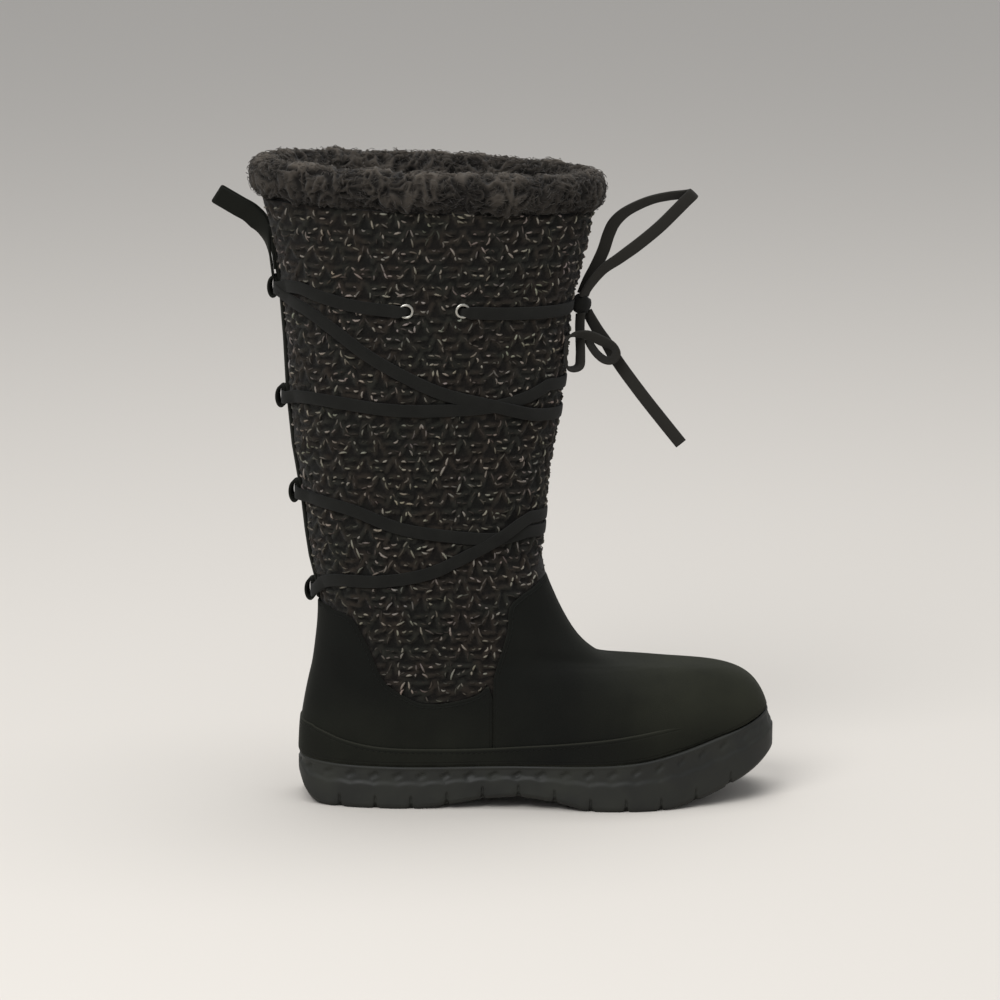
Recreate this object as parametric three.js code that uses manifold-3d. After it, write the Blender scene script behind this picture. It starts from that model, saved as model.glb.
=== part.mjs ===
// A tall winter boot for the right foot, standing on its sole.
// Millimetres. X runs from heel to toe, Z is up, and the outer side of the boot faces -Y.
// The origin lies on the floor under the middle of the heel's flat spot.

import * as THREE from 'three';
import { ParametricGeometry } from 'three/addons/geometries/ParametricGeometry.js';
import { mergeVertices } from 'three/addons/utils/BufferGeometryUtils.js';
import Module from 'manifold-3d';

const wasm = await Module();
wasm.setup();

// Driving sizes of the last
const footLength = 265;        // upper, from the back of the heel to the toe tip
const ballWidth = 92;          // upper, across the ball of the foot
const instepHeight = 77;       // floor to the flat top of the forefoot
const legDepth = 186;          // shaft at the collar, back to front
const legWidth = 92;           // shaft at the collar, side to side
const rimHeight = 344;         // floor to the shaft's rim
const soleLength = 271;
const soleWidth = 99;
const heelBack = 38.3;         // back end of the sole behind the origin
const soleHeight = 26;         // side of the sole at the arch
const toeLift = 24;            // how far the toe end of the tread rises
const archLift = 7;            // how far the waist of the tread rises
const wall = 3;                // knit and lining of the upper
const suede = 1.4;             // vamp, counter, rand and strap
const gap = 0.3;               // between pieces that touch
const insoleHeight = 4;
const cuffHalfHeight = 11.5;
const cuffHalfWidth = 9.5;
const lockSize = 6;          // one curl of the pile
const strapWidth = 12;
const laceWidth = 7;
const laceThickness = 1.5;
const laceLift = 1.6;          // middle of the lace over the shaft, on top of the yarns
const loopGap = 3.9;           // slot of a lace loop
const loopSeat = 0.8;          // leather between the strap's face and the slot
const loopHeight = 9.8;          // slot of a lace loop
const eyeletRadius = 4.5;
const eyeletHole = 2.7;
const eyeletThickness = 1;
const sipePitch = 20.2;
const sipeWidth = 1.5;
const sipeDepth = 3;
const notchHeight = 7;
const notchDepth = 4;
const channelWidth = 4;
const channelOffset = 15;
const treadStep = 1.4;         // how far the tread blocks stand proud of the band above them
const knotRadius = 4.6;
const pullLoopWidth = 13;
const pullLoopSlot = 2.4;
const around = 32;             // facets around the last
const cordSides = 8;

const colours = {
  rubber: 0x35363a, knit: 0x2a2521, suede: 0x1f201d, pile: 0x2b2724, lace: 0x181814,
  metal: 0x9a988f, felt: 0x35312c,
};

// Sections of the last, from the feather line up over the foot.
// back and front are the ends of a tilted section: x in foot lengths and z in instep heights.
// heel, waist, ball and toe are widths in ball widths, blunt the roundness of the ends.
// turn is how far the toe swings to the inner side, in ball widths.
const footRows = [
  { backX: -0.137, backZ: 0.16, frontX: 0.857, frontZ: 0.42, heel: 0.67, waist: 0.67, ball: 0.98, toe: 0.71, blunt: 0.58, turn: 0.1 },
  { backX: -0.136, backZ: 0.38, frontX: 0.862, frontZ: 0.6, heel: 0.69, waist: 0.68, ball: 1, toe: 0.71, blunt: 0.58, turn: 0.1 },
  { backX: -0.133, backZ: 0.56, frontX: 0.85, frontZ: 0.74, heel: 0.69, waist: 0.68, ball: 0.98, toe: 0.67, blunt: 0.59, turn: 0.1 },
  { backX: -0.126, backZ: 0.72, frontX: 0.82, frontZ: 0.862, heel: 0.68, waist: 0.68, ball: 0.92, toe: 0.58, blunt: 0.62, turn: 0.09 },
  { backX: -0.118, backZ: 0.86, frontX: 0.77, frontZ: 0.935, heel: 0.67, waist: 0.68, ball: 0.82, toe: 0.49, blunt: 0.66, turn: 0.07 },
  { backX: -0.109, backZ: 1, frontX: 0.7, frontZ: 0.957, heel: 0.66, waist: 0.68, ball: 0.74, toe: 0.45, blunt: 0.7, turn: 0.05 },
  { backX: -0.103, backZ: 1.15, frontX: 0.615, frontZ: 0.968, heel: 0.65, waist: 0.69, ball: 0.69, toe: 0.44, blunt: 0.74, turn: 0.03 },
  { backX: -0.098, backZ: 1.32, frontX: 0.535, frontZ: 1, heel: 0.64, waist: 0.71, ball: 0.69, toe: 0.46, blunt: 0.78, turn: 0.01 },
  { backX: -0.097, backZ: 1.49, frontX: 0.482, frontZ: 1.09, heel: 0.63, waist: 0.74, ball: 0.71, toe: 0.49, blunt: 0.8, turn: 0 },
];
// Sections of the shaft: x in leg depths, z in rim heights, widths in leg widths.
const shaftRows = [
  { backX: -0.145, backZ: 0.365, frontX: 0.626, frontZ: 0.278, heel: 0.62, waist: 0.77, ball: 0.73, toe: 0.5, blunt: 0.83, turn: 0 },
  { backX: -0.163, backZ: 0.404, frontX: 0.57, frontZ: 0.334, heel: 0.6, waist: 0.79, ball: 0.74, toe: 0.51, blunt: 0.86, turn: 0 },
  { backX: -0.175, backZ: 0.447, frontX: 0.532, frontZ: 0.395, heel: 0.6, waist: 0.8, ball: 0.74, toe: 0.52, blunt: 0.88, turn: 0 },
  { backX: -0.187, backZ: 0.505, frontX: 0.538, frontZ: 0.467, heel: 0.62, waist: 0.83, ball: 0.76, toe: 0.53, blunt: 0.9, turn: 0 },
  { backX: -0.214, backZ: 0.59, frontX: 0.555, frontZ: 0.557, heel: 0.65, waist: 0.87, ball: 0.8, toe: 0.56, blunt: 0.9, turn: 0 },
  { backX: -0.231, backZ: 0.68, frontX: 0.582, frontZ: 0.645, heel: 0.68, waist: 0.91, ball: 0.84, toe: 0.58, blunt: 0.9, turn: 0 },
  { backX: -0.24, backZ: 0.77, frontX: 0.604, frontZ: 0.74, heel: 0.7, waist: 0.95, ball: 0.88, toe: 0.6, blunt: 0.9, turn: 0 },
  { backX: -0.252, backZ: 0.85, frontX: 0.616, frontZ: 0.825, heel: 0.72, waist: 0.98, ball: 0.91, toe: 0.62, blunt: 0.9, turn: 0 },
  { backX: -0.276, backZ: 0.925, frontX: 0.65, frontZ: 0.9, heel: 0.73, waist: 1, ball: 0.93, toe: 0.63, blunt: 0.9, turn: 0 },
  { backX: -0.312, backZ: 1, frontX: 0.68, frontZ: 0.977, heel: 0.73, waist: 1, ball: 0.93, toe: 0.63, blunt: 0.9, turn: 0 },
];
// Where along a section its four widths lie, and how its middle line turns there.
const stations = [0, 0.13, 0.42, 0.7, 0.9, 1];
const turnAt = [0, 0, -0.5, 0.05, 0.65, 0.9];
const footprint = { heel: 0.72, waist: 0.71, ball: 1, toe: 0.74, blunt: 0.58, turn: 0.1 };
// Side lines of the sole: x in sole lengths from its back end, height in sole heights above the tread.
const soleTop = [
  { x: 0, z: 1.04 }, { x: 0.03, z: 0.99 }, { x: 0.1, z: 0.95 }, { x: 0.25, z: 0.93 },
  { x: 0.42, z: 0.96 }, { x: 0.62, z: 1.02 }, { x: 0.72, z: 1.1 }, { x: 0.8, z: 1.26 },
  { x: 0.88, z: 1.5 }, { x: 0.94, z: 1.72 }, { x: 1, z: 2.02 },
];
// Tread line: x in sole lengths, z as shares of the toe lift and of the arch lift.
const treadLine = [
  { x: -0.01, toe: 0.95, arch: 0 }, { x: 0.004, toe: 0.72, arch: 0 }, { x: 0.015, toe: 0.45, arch: 0 },
  { x: 0.03, toe: 0.24, arch: 0 }, { x: 0.05, toe: 0.1, arch: 0 }, { x: 0.09, toe: 0, arch: 0 }, { x: 0.235, toe: 0, arch: 0 }, { x: 0.3, toe: 0, arch: 0.3 },
  { x: 0.38, toe: 0, arch: 0.8 }, { x: 0.46, toe: 0, arch: 1 }, { x: 0.54, toe: 0, arch: 0.6 },
  { x: 0.61, toe: 0, arch: 0 }, { x: 0.75, toe: 0, arch: 0 }, { x: 0.82, toe: 0.13, arch: 0 },
  { x: 0.89, toe: 0.4, arch: 0 }, { x: 0.95, toe: 0.72, arch: 0 }, { x: 1.01, toe: 1.2, arch: 0 },
];
// Side outlines of the suede pieces: x in foot lengths, z in instep heights.
const counterEdge = [
  { x: -0.3, z: 1.5 }, { x: -0.1, z: 1.48 }, { x: -0.07, z: 1.45 }, { x: -0.03, z: 1.4 },
  { x: 0.003, z: 1.2 }, { x: 0.036, z: 0.95 }, { x: 0.09, z: 0.82 }, { x: 0.13, z: 0.78 },
  { x: 0.19, z: 0.8 }, { x: 0.236, z: 0.85 }, { x: 0.26, z: 0.92 }, { x: 0.268, z: 0.8 },
  { x: 0.268, z: -0.2 }, { x: -0.3, z: -0.2 },
];
const vampEdge = [
  { x: 0.2705, z: -0.2 }, { x: 0.2705, z: 0.96 }, { x: 0.283, z: 1.13 }, { x: 0.298, z: 1.32 },
  { x: 0.302, z: 1.48 }, { x: 0.325, z: 1.56 }, { x: 0.362, z: 1.63 }, { x: 0.4, z: 1.74 },
  { x: 0.46, z: 1.86 }, { x: 1.1, z: 1.86 }, { x: 1.1, z: -0.2 },
];
const randEdge = [
  { x: -0.3, z: 0.64 }, { x: -0.13, z: 0.6 }, { x: -0.1, z: 0.57 }, { x: -0.04, z: 0.5 },
  { x: 0.03, z: 0.46 }, { x: 0.12, z: 0.45 }, { x: 0.25, z: 0.455 }, { x: 0.38, z: 0.49 },
  { x: 0.5, z: 0.54 }, { x: 0.6, z: 0.59 }, { x: 0.68, z: 0.62 }, { x: 0.74, z: 0.61 },
];
// Courses of the lace over one side, back to front: x in leg depths, z in rim heights.
const laceCourses = {
  steep: [
    { x: -0.18, z: 0.826 }, { x: -0.1, z: 0.797 }, { x: 0, z: 0.757 }, { x: 0.113, z: 0.722 },
    { x: 0.227, z: 0.694 }, { x: 0.37, z: 0.673 }, { x: 0.486, z: 0.655 }, { x: 0.54, z: 0.65 },
  ],
  flat: [
    { x: -0.17, z: 0.68 }, { x: -0.087, z: 0.677 }, { x: 0.083, z: 0.667 }, { x: 0.256, z: 0.667 },
    { x: 0.378, z: 0.671 }, { x: 0.48, z: 0.684 }, { x: 0.54, z: 0.7 },
  ],
  top: [
    { x: -0.2, z: 0.86 }, { x: -0.141, z: 0.85 }, { x: -0.046, z: 0.838 }, { x: 0.08, z: 0.83 },
  ],
  front: [
    { x: 0.318, z: 0.827 }, { x: 0.4, z: 0.824 }, { x: 0.5, z: 0.822 }, { x: 0.58, z: 0.821 }, { x: 0.611, z: 0.822 }, { x: 0.6148, z: 0.8225 },
  ],
  lowSteep: [
    { x: -0.13, z: 0.508 }, { x: -0.035, z: 0.497 }, { x: 0.1, z: 0.47 }, { x: 0.24, z: 0.457 },
    { x: 0.38, z: 0.449 }, { x: 0.48, z: 0.456 },
  ],
  lowFlat: [
    { x: -0.1, z: 0.376 }, { x: 0.032, z: 0.38 }, { x: 0.17, z: 0.392 }, { x: 0.273, z: 0.415 },
    { x: 0.343, z: 0.434 }, { x: 0.445, z: 0.468 }, { x: 0.49, z: 0.48 },
  ],
};
// Lace loops on the back strap, as shares of the rim height, from the lowest up.
const loopRows = [0.349, 0.513, 0.671, 0.852];
// Eyelets on each side: x in leg depths, z in rim heights.
const eyeletRows = [{ name: 'rear', x: 0.115, z: 0.83 }, { name: 'front', x: 0.283, z: 0.83 }];

// Routes of the free lace ends, chosen by eye, in millimetres.
const bowRoute = [
  [122.2, -2.9, 288.4], [126, -3.8, 294.6], [132, -4.6, 301], [139.5, -5.4, 306.2], [147, -6, 310.9],
  [155, -6.6, 316.6], [163, -7, 323.5], [170.5, -7.2, 330], [176, -7, 336.3], [176, -6.5, 342.5],
  [170, -6, 344.2], [161, -5.4, 342], [151, -4.6, 338.3], [142, -3.6, 332.5], [136, -2.6, 325],
  [131.6, -1.6, 314], [127, -0.6, 302.5], [121.6, 0.4, 289],
];
const lowLoopRoute = [
  [120.5, -1.9, 277], [120.6, -5.2, 268], [120.6, -8.6, 258], [119.4, -9.8, 250.5], [116, -12, 247.3],
  [112.5, -14.5, 250.5], [111.6, -15.6, 257.5], [114, -15, 264.2], [119, -13.4, 266], [123.6, -12.2, 262.8],
  [127.4, -11.2, 256], [132.6, -10, 251], [137.4, -8.6, 250.4], [141.6, -7.2, 254.6],
];
const endRoute = [
  [124.3, 0.7, 278.3], [129.2, -0.6, 270.6], [135.2, -2, 262.8], [141.5, -3, 253], [152, -3.6, 238.8],
  [164, -4, 223], [177.2, -4.4, 205.6],
];
const knotPlace = [121.4, -1, 282.9];

// Small helpers for tables, curves and solids

function smoothTable(places, values, at) {
  // A smooth curve through the values, with the slope of its neighbours at each place.
  const last = places.length - 1;
  const clamped = Math.min(Math.max(at, places[0]), places[last]);
  let k = 0;
  while (k < last - 1 && clamped > places[k + 1]) k += 1;
  const slope = (i) => {
    const a = Math.max(i - 1, 0);
    const b = Math.min(i + 1, last);
    return (values[b] - values[a]) / (places[b] - places[a]);
  };
  const span = places[k + 1] - places[k];
  const t = (clamped - places[k]) / span;
  const h00 = (1 + 2 * t) * (1 - t) * (1 - t);
  const h10 = t * (1 - t) * (1 - t);
  const h01 = t * t * (3 - 2 * t);
  const h11 = t * t * (t - 1);
  return h00 * values[k] + h10 * span * slope(k) + h01 * values[k + 1] + h11 * span * slope(k + 1);
}

function toSolid(geometry) {
  const bare = geometry.index ? geometry.toNonIndexed() : geometry.clone();
  bare.deleteAttribute('normal');
  bare.deleteAttribute('uv');
  const welded = mergeVertices(bare, 1e-4);
  const place = welded.attributes.position;
  const corners = [];
  let volume = 0;
  const a = new THREE.Vector3();
  const b = new THREE.Vector3();
  const c = new THREE.Vector3();
  for (let i = 0; i < welded.index.count; i += 3) {
    const [p, q, r] = [welded.index.getX(i), welded.index.getX(i + 1), welded.index.getX(i + 2)];
    if (p === q || q === r || r === p) continue;
    corners.push(p, q, r);
    a.fromBufferAttribute(place, p);
    b.fromBufferAttribute(place, q);
    c.fromBufferAttribute(place, r);
    volume += a.dot(b.cross(c));
  }
  if (volume < 0) corners.reverse();
  const mesh = new wasm.Mesh({
    numProp: 3,
    vertProperties: new Float32Array(place.array),
    triVerts: new Uint32Array(corners),
  });
  mesh.merge();
  return new wasm.Manifold(mesh);
}

function toGeometry(solid) {
  const mesh = solid.getMesh();
  const geometry = new THREE.BufferGeometry();
  geometry.setAttribute('position', new THREE.BufferAttribute(mesh.vertProperties, mesh.numProp));
  geometry.setIndex(new THREE.BufferAttribute(mesh.triVerts, 1));
  return geometry.toNonIndexed();
}

function joined(solids) {
  return solids.reduce((sum, next) => sum.add(next));
}

// The last: every section is a loop in a tilted plane from its back end to its front end

const columns = ['backX', 'backZ', 'frontX', 'frontZ', 'heel', 'waist', 'ball', 'toe', 'blunt', 'turn'];

function inMillimetres(row, long, high, wide) {
  return {
    backX: row.backX * long, backZ: row.backZ * high, frontX: row.frontX * long, frontZ: row.frontZ * high,
    heel: row.heel * wide, waist: row.waist * wide, ball: row.ball * wide, toe: row.toe * wide,
    blunt: row.blunt, turn: row.turn * wide,
  };
}

const lastRows = [
  ...footRows.map((row) => inMillimetres(row, footLength, instepHeight, ballWidth)),
  ...shaftRows.map((row) => inMillimetres(row, legDepth, rimHeight, legWidth)),
];
const rowPlaces = lastRows.map((row, i) => i / (lastRows.length - 1));
const stacks = lastRows.length - 1;
const ankleRing = 11;          // ring of the last just above the highest suede

function sectionAt(v) {
  const section = {};
  for (const name of columns) {
    section[name] = smoothTable(rowPlaces, lastRows.map((row) => row[name]), v);
  }
  return section;
}

function alongSection(section, u) {
  // u runs from the back along the outer side to the front, and back along the inner side.
  const outer = u <= 0.5;
  const half = outer ? u * 2 : 2 - u * 2;
  const ease = 1 / section.blunt;
  const near = Math.pow(half, ease);
  const far = Math.pow(1 - half, ease);
  const angle = Math.PI * near / (near + far);
  const share = (1 - Math.cos(angle)) / 2;
  const end = (at) => Math.pow(2 * Math.sqrt(at * (1 - at)), section.blunt);
  const widths = [section.heel, section.waist, section.ball, section.toe];
  const full = widths.map((width, i) => width / end(stations[i + 1]));
  const width = smoothTable(stations, [full[0], ...full, full[3]], share);
  const middle = section.turn * smoothTable(stations, turnAt, share);
  return { share, y: middle + (outer ? -0.5 : 0.5) * width * Math.pow(Math.sin(angle), section.blunt) };
}

function bare(u, v) {
  const section = sectionAt(v);
  const { share, y } = alongSection(section, u);
  return new THREE.Vector3(
    THREE.MathUtils.lerp(section.backX, section.frontX, share),
    y,
    THREE.MathUtils.lerp(section.backZ, section.frontZ, share),
  );
}

function outward(u, v) {
  const small = 0.004;
  const wrap = (at) => (at + 1) % 1;
  const alongU = bare(wrap(u + small), v).sub(bare(wrap(u - small), v));
  const alongV = bare(u, Math.min(v + small, 1)).sub(bare(u, Math.max(v - small, 0)));
  return alongU.cross(alongV).normalize();
}

function onLast(u, v, lift) {
  return bare(u, v).addScaledVector(outward(u, v), lift);
}

function form(lift, top = stacks, spare = 0) {
  // A closed form of the last, grown by lift, up to one of its rings.
  // spare lengthens both ends straight up and down, so that it can cut right through.
  const rows = spare ? top + 2 : top;
  const place = (u, v, target) => {
    const step = Math.round(v * (rows + 2));
    const ring = Math.min(Math.max(step - 1, 0), rows);
    const inner = spare ? Math.min(Math.max(ring - 1, 0), top) : ring;
    const height = inner / stacks;
    const pole = step === 0 || step === rows + 2;
    if (pole) {
      const section = sectionAt(height);
      target.set((section.backX + section.frontX) / 2, 0, (section.backZ + section.frontZ) / 2);
    } else {
      target.copy(onLast(u % 1, height, lift));
    }
    if (spare && ring === 0) target.z -= spare;
    if (spare && ring === rows) target.z += spare;
  };
  return toSolid(new ParametricGeometry(place, around, rows + 2));
}

function sideCut(points, halfDepth = 120) {
  // A side outline in X and Z, run through the whole width.
  const shape = new THREE.Shape(points.map((p) => new THREE.Vector2(p.x, p.z)));
  const geometry = new THREE.ExtrudeGeometry(shape, { depth: halfDepth * 2, bevelEnabled: false });
  geometry.rotateX(Math.PI / 2);
  geometry.translate(0, halfDepth, 0);
  return toSolid(geometry);
}

function block(sizeX, sizeY, sizeZ, x, y, z, turn = 0) {
  const geometry = new THREE.BoxGeometry(sizeX, sizeY, sizeZ);
  geometry.rotateY(turn);
  geometry.translate(x, y, z);
  return toSolid(geometry);
}

// Sole lines

const soleX = (share) => share * soleLength - heelBack;
const treadZ = (share) => {
  const places = treadLine.map((p) => p.x);
  const toe = smoothTable(places, treadLine.map((p) => p.toe), share);
  const arch = smoothTable(places, treadLine.map((p) => p.arch), share);
  return Math.max(toe, 0) * toeLift + Math.max(arch, 0) * archLift;
};
const soleTopZ = (share) => smoothTable(soleTop.map((p) => p.x), soleTop.map((p) => p.z), share) * soleHeight;
const lineSteps = 20;

function sideLine(height) {
  const points = [];
  for (let i = 0; i <= lineSteps; i += 1) {
    const share = 0.5 - 0.51 * Math.cos(Math.PI * i / lineSteps);
    points.push({ x: soleX(share), z: height(share) });
  }
  return points;
}

function bandBetween(low, high) {
  return sideCut([...sideLine(low), ...sideLine(high).reverse()]);
}

function soleOutline(inset) {
  const section = {
    blunt: footprint.blunt,
    turn: footprint.turn * soleWidth,
    heel: footprint.heel * soleWidth - 2 * inset,
    waist: footprint.waist * soleWidth - 2 * inset,
    ball: footprint.ball * soleWidth - 2 * inset,
    toe: footprint.toe * soleWidth - 2 * inset,
  };
  const points = [];
  const facets = around + 6;
  for (let i = 0; i < facets; i += 1) {
    const { share, y } = alongSection(section, i / facets);
    points.push(new THREE.Vector2(soleX(0) + inset + share * (soleLength - 2 * inset), y));
  }
  return points;
}

function soleForm(inset) {
  const tall = soleHeight * 4;
  const shape = new THREE.Shape(soleOutline(inset));
  const geometry = new THREE.ExtrudeGeometry(shape, { depth: tall, bevelEnabled: false });
  geometry.translate(0, 0, -soleHeight);
  return toSolid(geometry);
}

function halfSoleWidth(share, inner) {
  // Half width of the tread at a share of its length, to the outer or the inner side.
  const outline = soleOutline(0);
  const x = soleX(share);
  const side = outline.filter((p, i) => (inner ? i > outline.length / 2 : i <= outline.length / 2));
  const near = side.reduce((best, p) => (Math.abs(p.x - x) < Math.abs(best.x - x) ? p : best));
  return near.y;
}

function makeOutsole() {
  const split = (share) => THREE.MathUtils.lerp(treadZ(share), soleTopZ(share), 0.6);
  const chamfer = (share) => treadZ(share) + 2.4;
  const foot = soleForm(treadStep).intersect(bandBetween(treadZ, chamfer));
  const tread = soleForm(0).intersect(bandBetween((share) => chamfer(share) - 0.01, split));
  const band = soleForm(treadStep).intersect(bandBetween((share) => split(share) - 0.01, soleTopZ));
  let solid = joined([foot, tread, band]);
  const cuts = [];
  for (let x = 4.6 - sipePitch; x < soleX(0.92); x += sipePitch) {
    const share = (x + heelBack) / soleLength;
    const low = treadZ(share);
    cuts.push(block(sipeWidth, soleWidth * 1.2, sipeDepth * 2, x, 0, low));
    for (const inner of [false, true]) {
      const y = halfSoleWidth(share, inner);
      cuts.push(block(sipeWidth, notchDepth * 2, notchHeight * 2, x, y, low));
    }
  }
  const channelLength = soleLength * 0.86;
  for (const side of [-1, 1]) {
    const x = soleX(0.5);
    cuts.push(block(channelLength, channelWidth, sipeDepth * 2, x, side * channelOffset, 0));
  }
  const recessPitch = sipePitch * 0.67;
  for (let x = -12; x < soleX(0.9); x += recessPitch) {
    const share = (x + heelBack) / soleLength;
    const high = soleTopZ(share) - 5.2;
    for (const inner of [false, true]) {
      const y = halfSoleWidth(share, inner);
      cuts.push(block(5.4, treadStep * 4.4, 2.4, x, y, high, 0.5));
    }
  }
  for (const cut of cuts) solid = solid.subtract(cut);
  return solid;
}

function makeInsole() {
  const inset = (soleWidth - ballWidth) / 2 + wall + 2;
  const low = (share) => soleTopZ(share) + gap;
  const high = (share) => soleTopZ(share) + gap + insoleHeight;
  return soleForm(inset).intersect(bandBetween(low, high)).intersect(form(-wall - gap, ankleRing));
}

// Upper and the suede over it

const aboveSole = sideCut([
  ...sideLine((share) => soleTopZ(share) + gap),
  { x: footLength * 2, z: soleTopZ(1) + gap },
  { x: footLength * 2, z: rimHeight * 1.3 },
  { x: -footLength, z: rimHeight * 1.3 },
  { x: -footLength, z: soleTopZ(0) + gap },
]);
const outerForm = form(0);

function makeUpper() {
  const inner = form(-wall, stacks, wall * 6);
  return outerForm.subtract(inner).intersect(aboveSole);
}

function suedeCover(edge, from) {
  const outline = edge.map((p) => ({ x: p.x * footLength, z: p.z * instepHeight }));
  const skin = form(from + suede, ankleRing).subtract(form(from, ankleRing + 1));
  return skin.intersect(sideCut(outline)).intersect(aboveSole);
}

function makeRand() {
  const from = gap + suede + gap;
  const edge = randEdge.map((p) => ({ x: p.x * footLength, z: p.z * instepHeight }));
  const end = edge[edge.length - 1].x;
  const bottom = [{ x: end, z: 0 }, { x: edge[0].x, z: 0 }];
  const skin = form(from + suede, ankleRing).subtract(form(from, ankleRing + 1));
  return skin.intersect(sideCut([...edge, ...bottom])).intersect(aboveSole);
}

// Cuff of deep pile round the rim, with its curls fused on

function makeCuff() {
  const middle = (u) => {
    const rim = onLast(u % 1, 1, -wall / 2);
    rim.z += cuffHalfHeight + gap;
    return rim;
  };
  const flat = (u) => {
    const side = outward(u % 1, 1);
    side.z = 0;
    return side.normalize();
  };
  const place = (u, v, target) => {
    const angle = v * Math.PI * 2;
    target.copy(middle(u)).addScaledVector(flat(u), Math.cos(angle) * cuffHalfWidth);
    target.z += Math.sin(angle) * cuffHalfHeight;
  };
  const parts = [toSolid(new ParametricGeometry(place, around, 8))];
  const lockRows = [0.03, 0.21];
  const locksAround = 16;
  lockRows.forEach((row, k) => {
    for (let i = 0; i < locksAround; i += 1) {
      const u = (i + k * 0.33) / locksAround;
      const angle = row * Math.PI * 2;
      const lock = new THREE.IcosahedronGeometry(lockSize, 0);
      lock.scale(1.25, 1.1, 1);
      lock.rotateZ(i * 1.3 + k);
      lock.rotateX(i * 0.7);
      const centre = middle(u).addScaledVector(flat(u), Math.cos(angle) * (cuffHalfWidth - lockSize * 0.55));
      centre.z += Math.sin(angle) * (cuffHalfHeight - lockSize * 0.55);
      lock.translate(centre.x, centre.y, centre.z);
      parts.push(toSolid(lock));
    }
  });
  return joined(parts);
}

// Back strap with its lace loops

const backLine = [];
for (let ring = 0; ring <= stacks; ring += 1) {
  backLine.push(bare(0, ring / stacks));
}
const backAt = (z) => {
  // The back of the faceted last, straight from ring to ring.
  const k = Math.max(backLine.findIndex((p) => p.z > z), 1);
  const [low, high] = [backLine[k - 1], backLine[k]];
  return THREE.MathUtils.lerp(low.x, high.x, (z - low.z) / (high.z - low.z));
};
const strapLow = 1.5 * instepHeight;
const strapHigh = 0.955 * rimHeight;

function slotPlace(share) {
  // Middle of a lace loop's slot, against the outside of the strap.
  const z = share * rimHeight;
  return { x: backAt(z) - gap - suede - loopSeat - loopGap / 2, z };
}

function ovalBar(share, thickness, depth) {
  // An oval bar across the back at a lace loop: the slot, or the leather round it.
  const { x, z } = slotPlace(share);
  const shape = new THREE.Shape();
  shape.absellipse(0, 0, loopGap / 2 + thickness, loopHeight / 2 + thickness, 0, Math.PI * 2);
  const bar = new THREE.ExtrudeGeometry(shape, { depth, bevelEnabled: false, curveSegments: 5 });
  bar.rotateX(Math.PI / 2);
  bar.translate(x, depth / 2, z);
  return toSolid(bar);
}

function makeBackStrap() {
  const inside = [];
  const outside = [];
  const between = backLine.map((p) => p.z).filter((z) => z > strapLow && z < strapHigh);
  for (const z of [strapLow, ...between, strapHigh]) {
    inside.push({ x: backAt(z) - gap, z });
    outside.push({ x: backAt(z) - gap - suede, z });
  }
  let solid = sideCut([...inside, ...outside.reverse()], strapWidth / 2);
  for (const share of loopRows) solid = solid.add(ovalBar(share, suede, strapWidth));
  for (const share of loopRows) solid = solid.subtract(ovalBar(share, 0, strapWidth * 2));
  const skin = form(gap);
  return solid.subtract(skin);
}

function makePullLoop() {
  const z = 0.905 * rimHeight;
  const length = 40;
  const tilt = 2.52;
  const shape = new THREE.Shape();
  const half = pullLoopSlot / 2 + suede;
  shape.moveTo(0, -half);
  shape.lineTo(length - half, -half);
  shape.absarc(length - half, 0, half, -Math.PI / 2, Math.PI / 2, false);
  shape.lineTo(0, half);
  const slot = new THREE.Path();
  slot.moveTo(suede, -pullLoopSlot / 2);
  slot.lineTo(length - half, -pullLoopSlot / 2);
  slot.absarc(length - half, 0, pullLoopSlot / 2, -Math.PI / 2, Math.PI / 2, false);
  slot.lineTo(suede, pullLoopSlot / 2);
  shape.holes.push(slot);
  const band = new THREE.ExtrudeGeometry(shape, { depth: pullLoopWidth, bevelEnabled: false, curveSegments: 4 });
  band.translate(0, 0, -pullLoopWidth / 2);
  band.rotateX(0.7);
  band.rotateX(Math.PI / 2);
  band.rotateY(-tilt);
  band.translate(backAt(z) - gap - suede - 2, 0, z);
  const strap = form(gap + suede + gap);
  return toSolid(band).subtract(strap).subtract(makeBackStrap());
}

// Lace: flat bands over the last, and the free ends

function surfacePlace(x, z) {
  // The share u of the outer side and the height v whose point lies at x and z in side view.
  let low = 0;
  let high = 1;
  for (let i = 0; i < 40; i += 1) {
    const mid = (low + high) / 2;
    const s = sectionAt(mid);
    const at = s.backZ + (s.frontZ - s.backZ) * (x - s.backX) / (s.frontX - s.backX);
    if (at < z) low = mid;
    else high = mid;
  }
  const section = sectionAt(low);
  const share = (x - section.backX) / (section.frontX - section.backX);
  let from = 0;
  let to = 0.5;
  for (let i = 0; i < 40; i += 1) {
    const mid = (from + to) / 2;
    if (alongSection(section, mid).share < share) from = mid;
    else to = mid;
  }
  return { u: from, v: low };
}

function courseTable(course, loop) {
  const places = laceCourses[course].map((p) => surfacePlace(p.x * legDepth, p.z * rimHeight));
  if (loop !== undefined) {
    const { z } = slotPlace(loop);
    places.unshift({ u: 0, v: surfacePlace(backAt(z) + 0.01, z).v });
  }
  return places;
}

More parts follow.
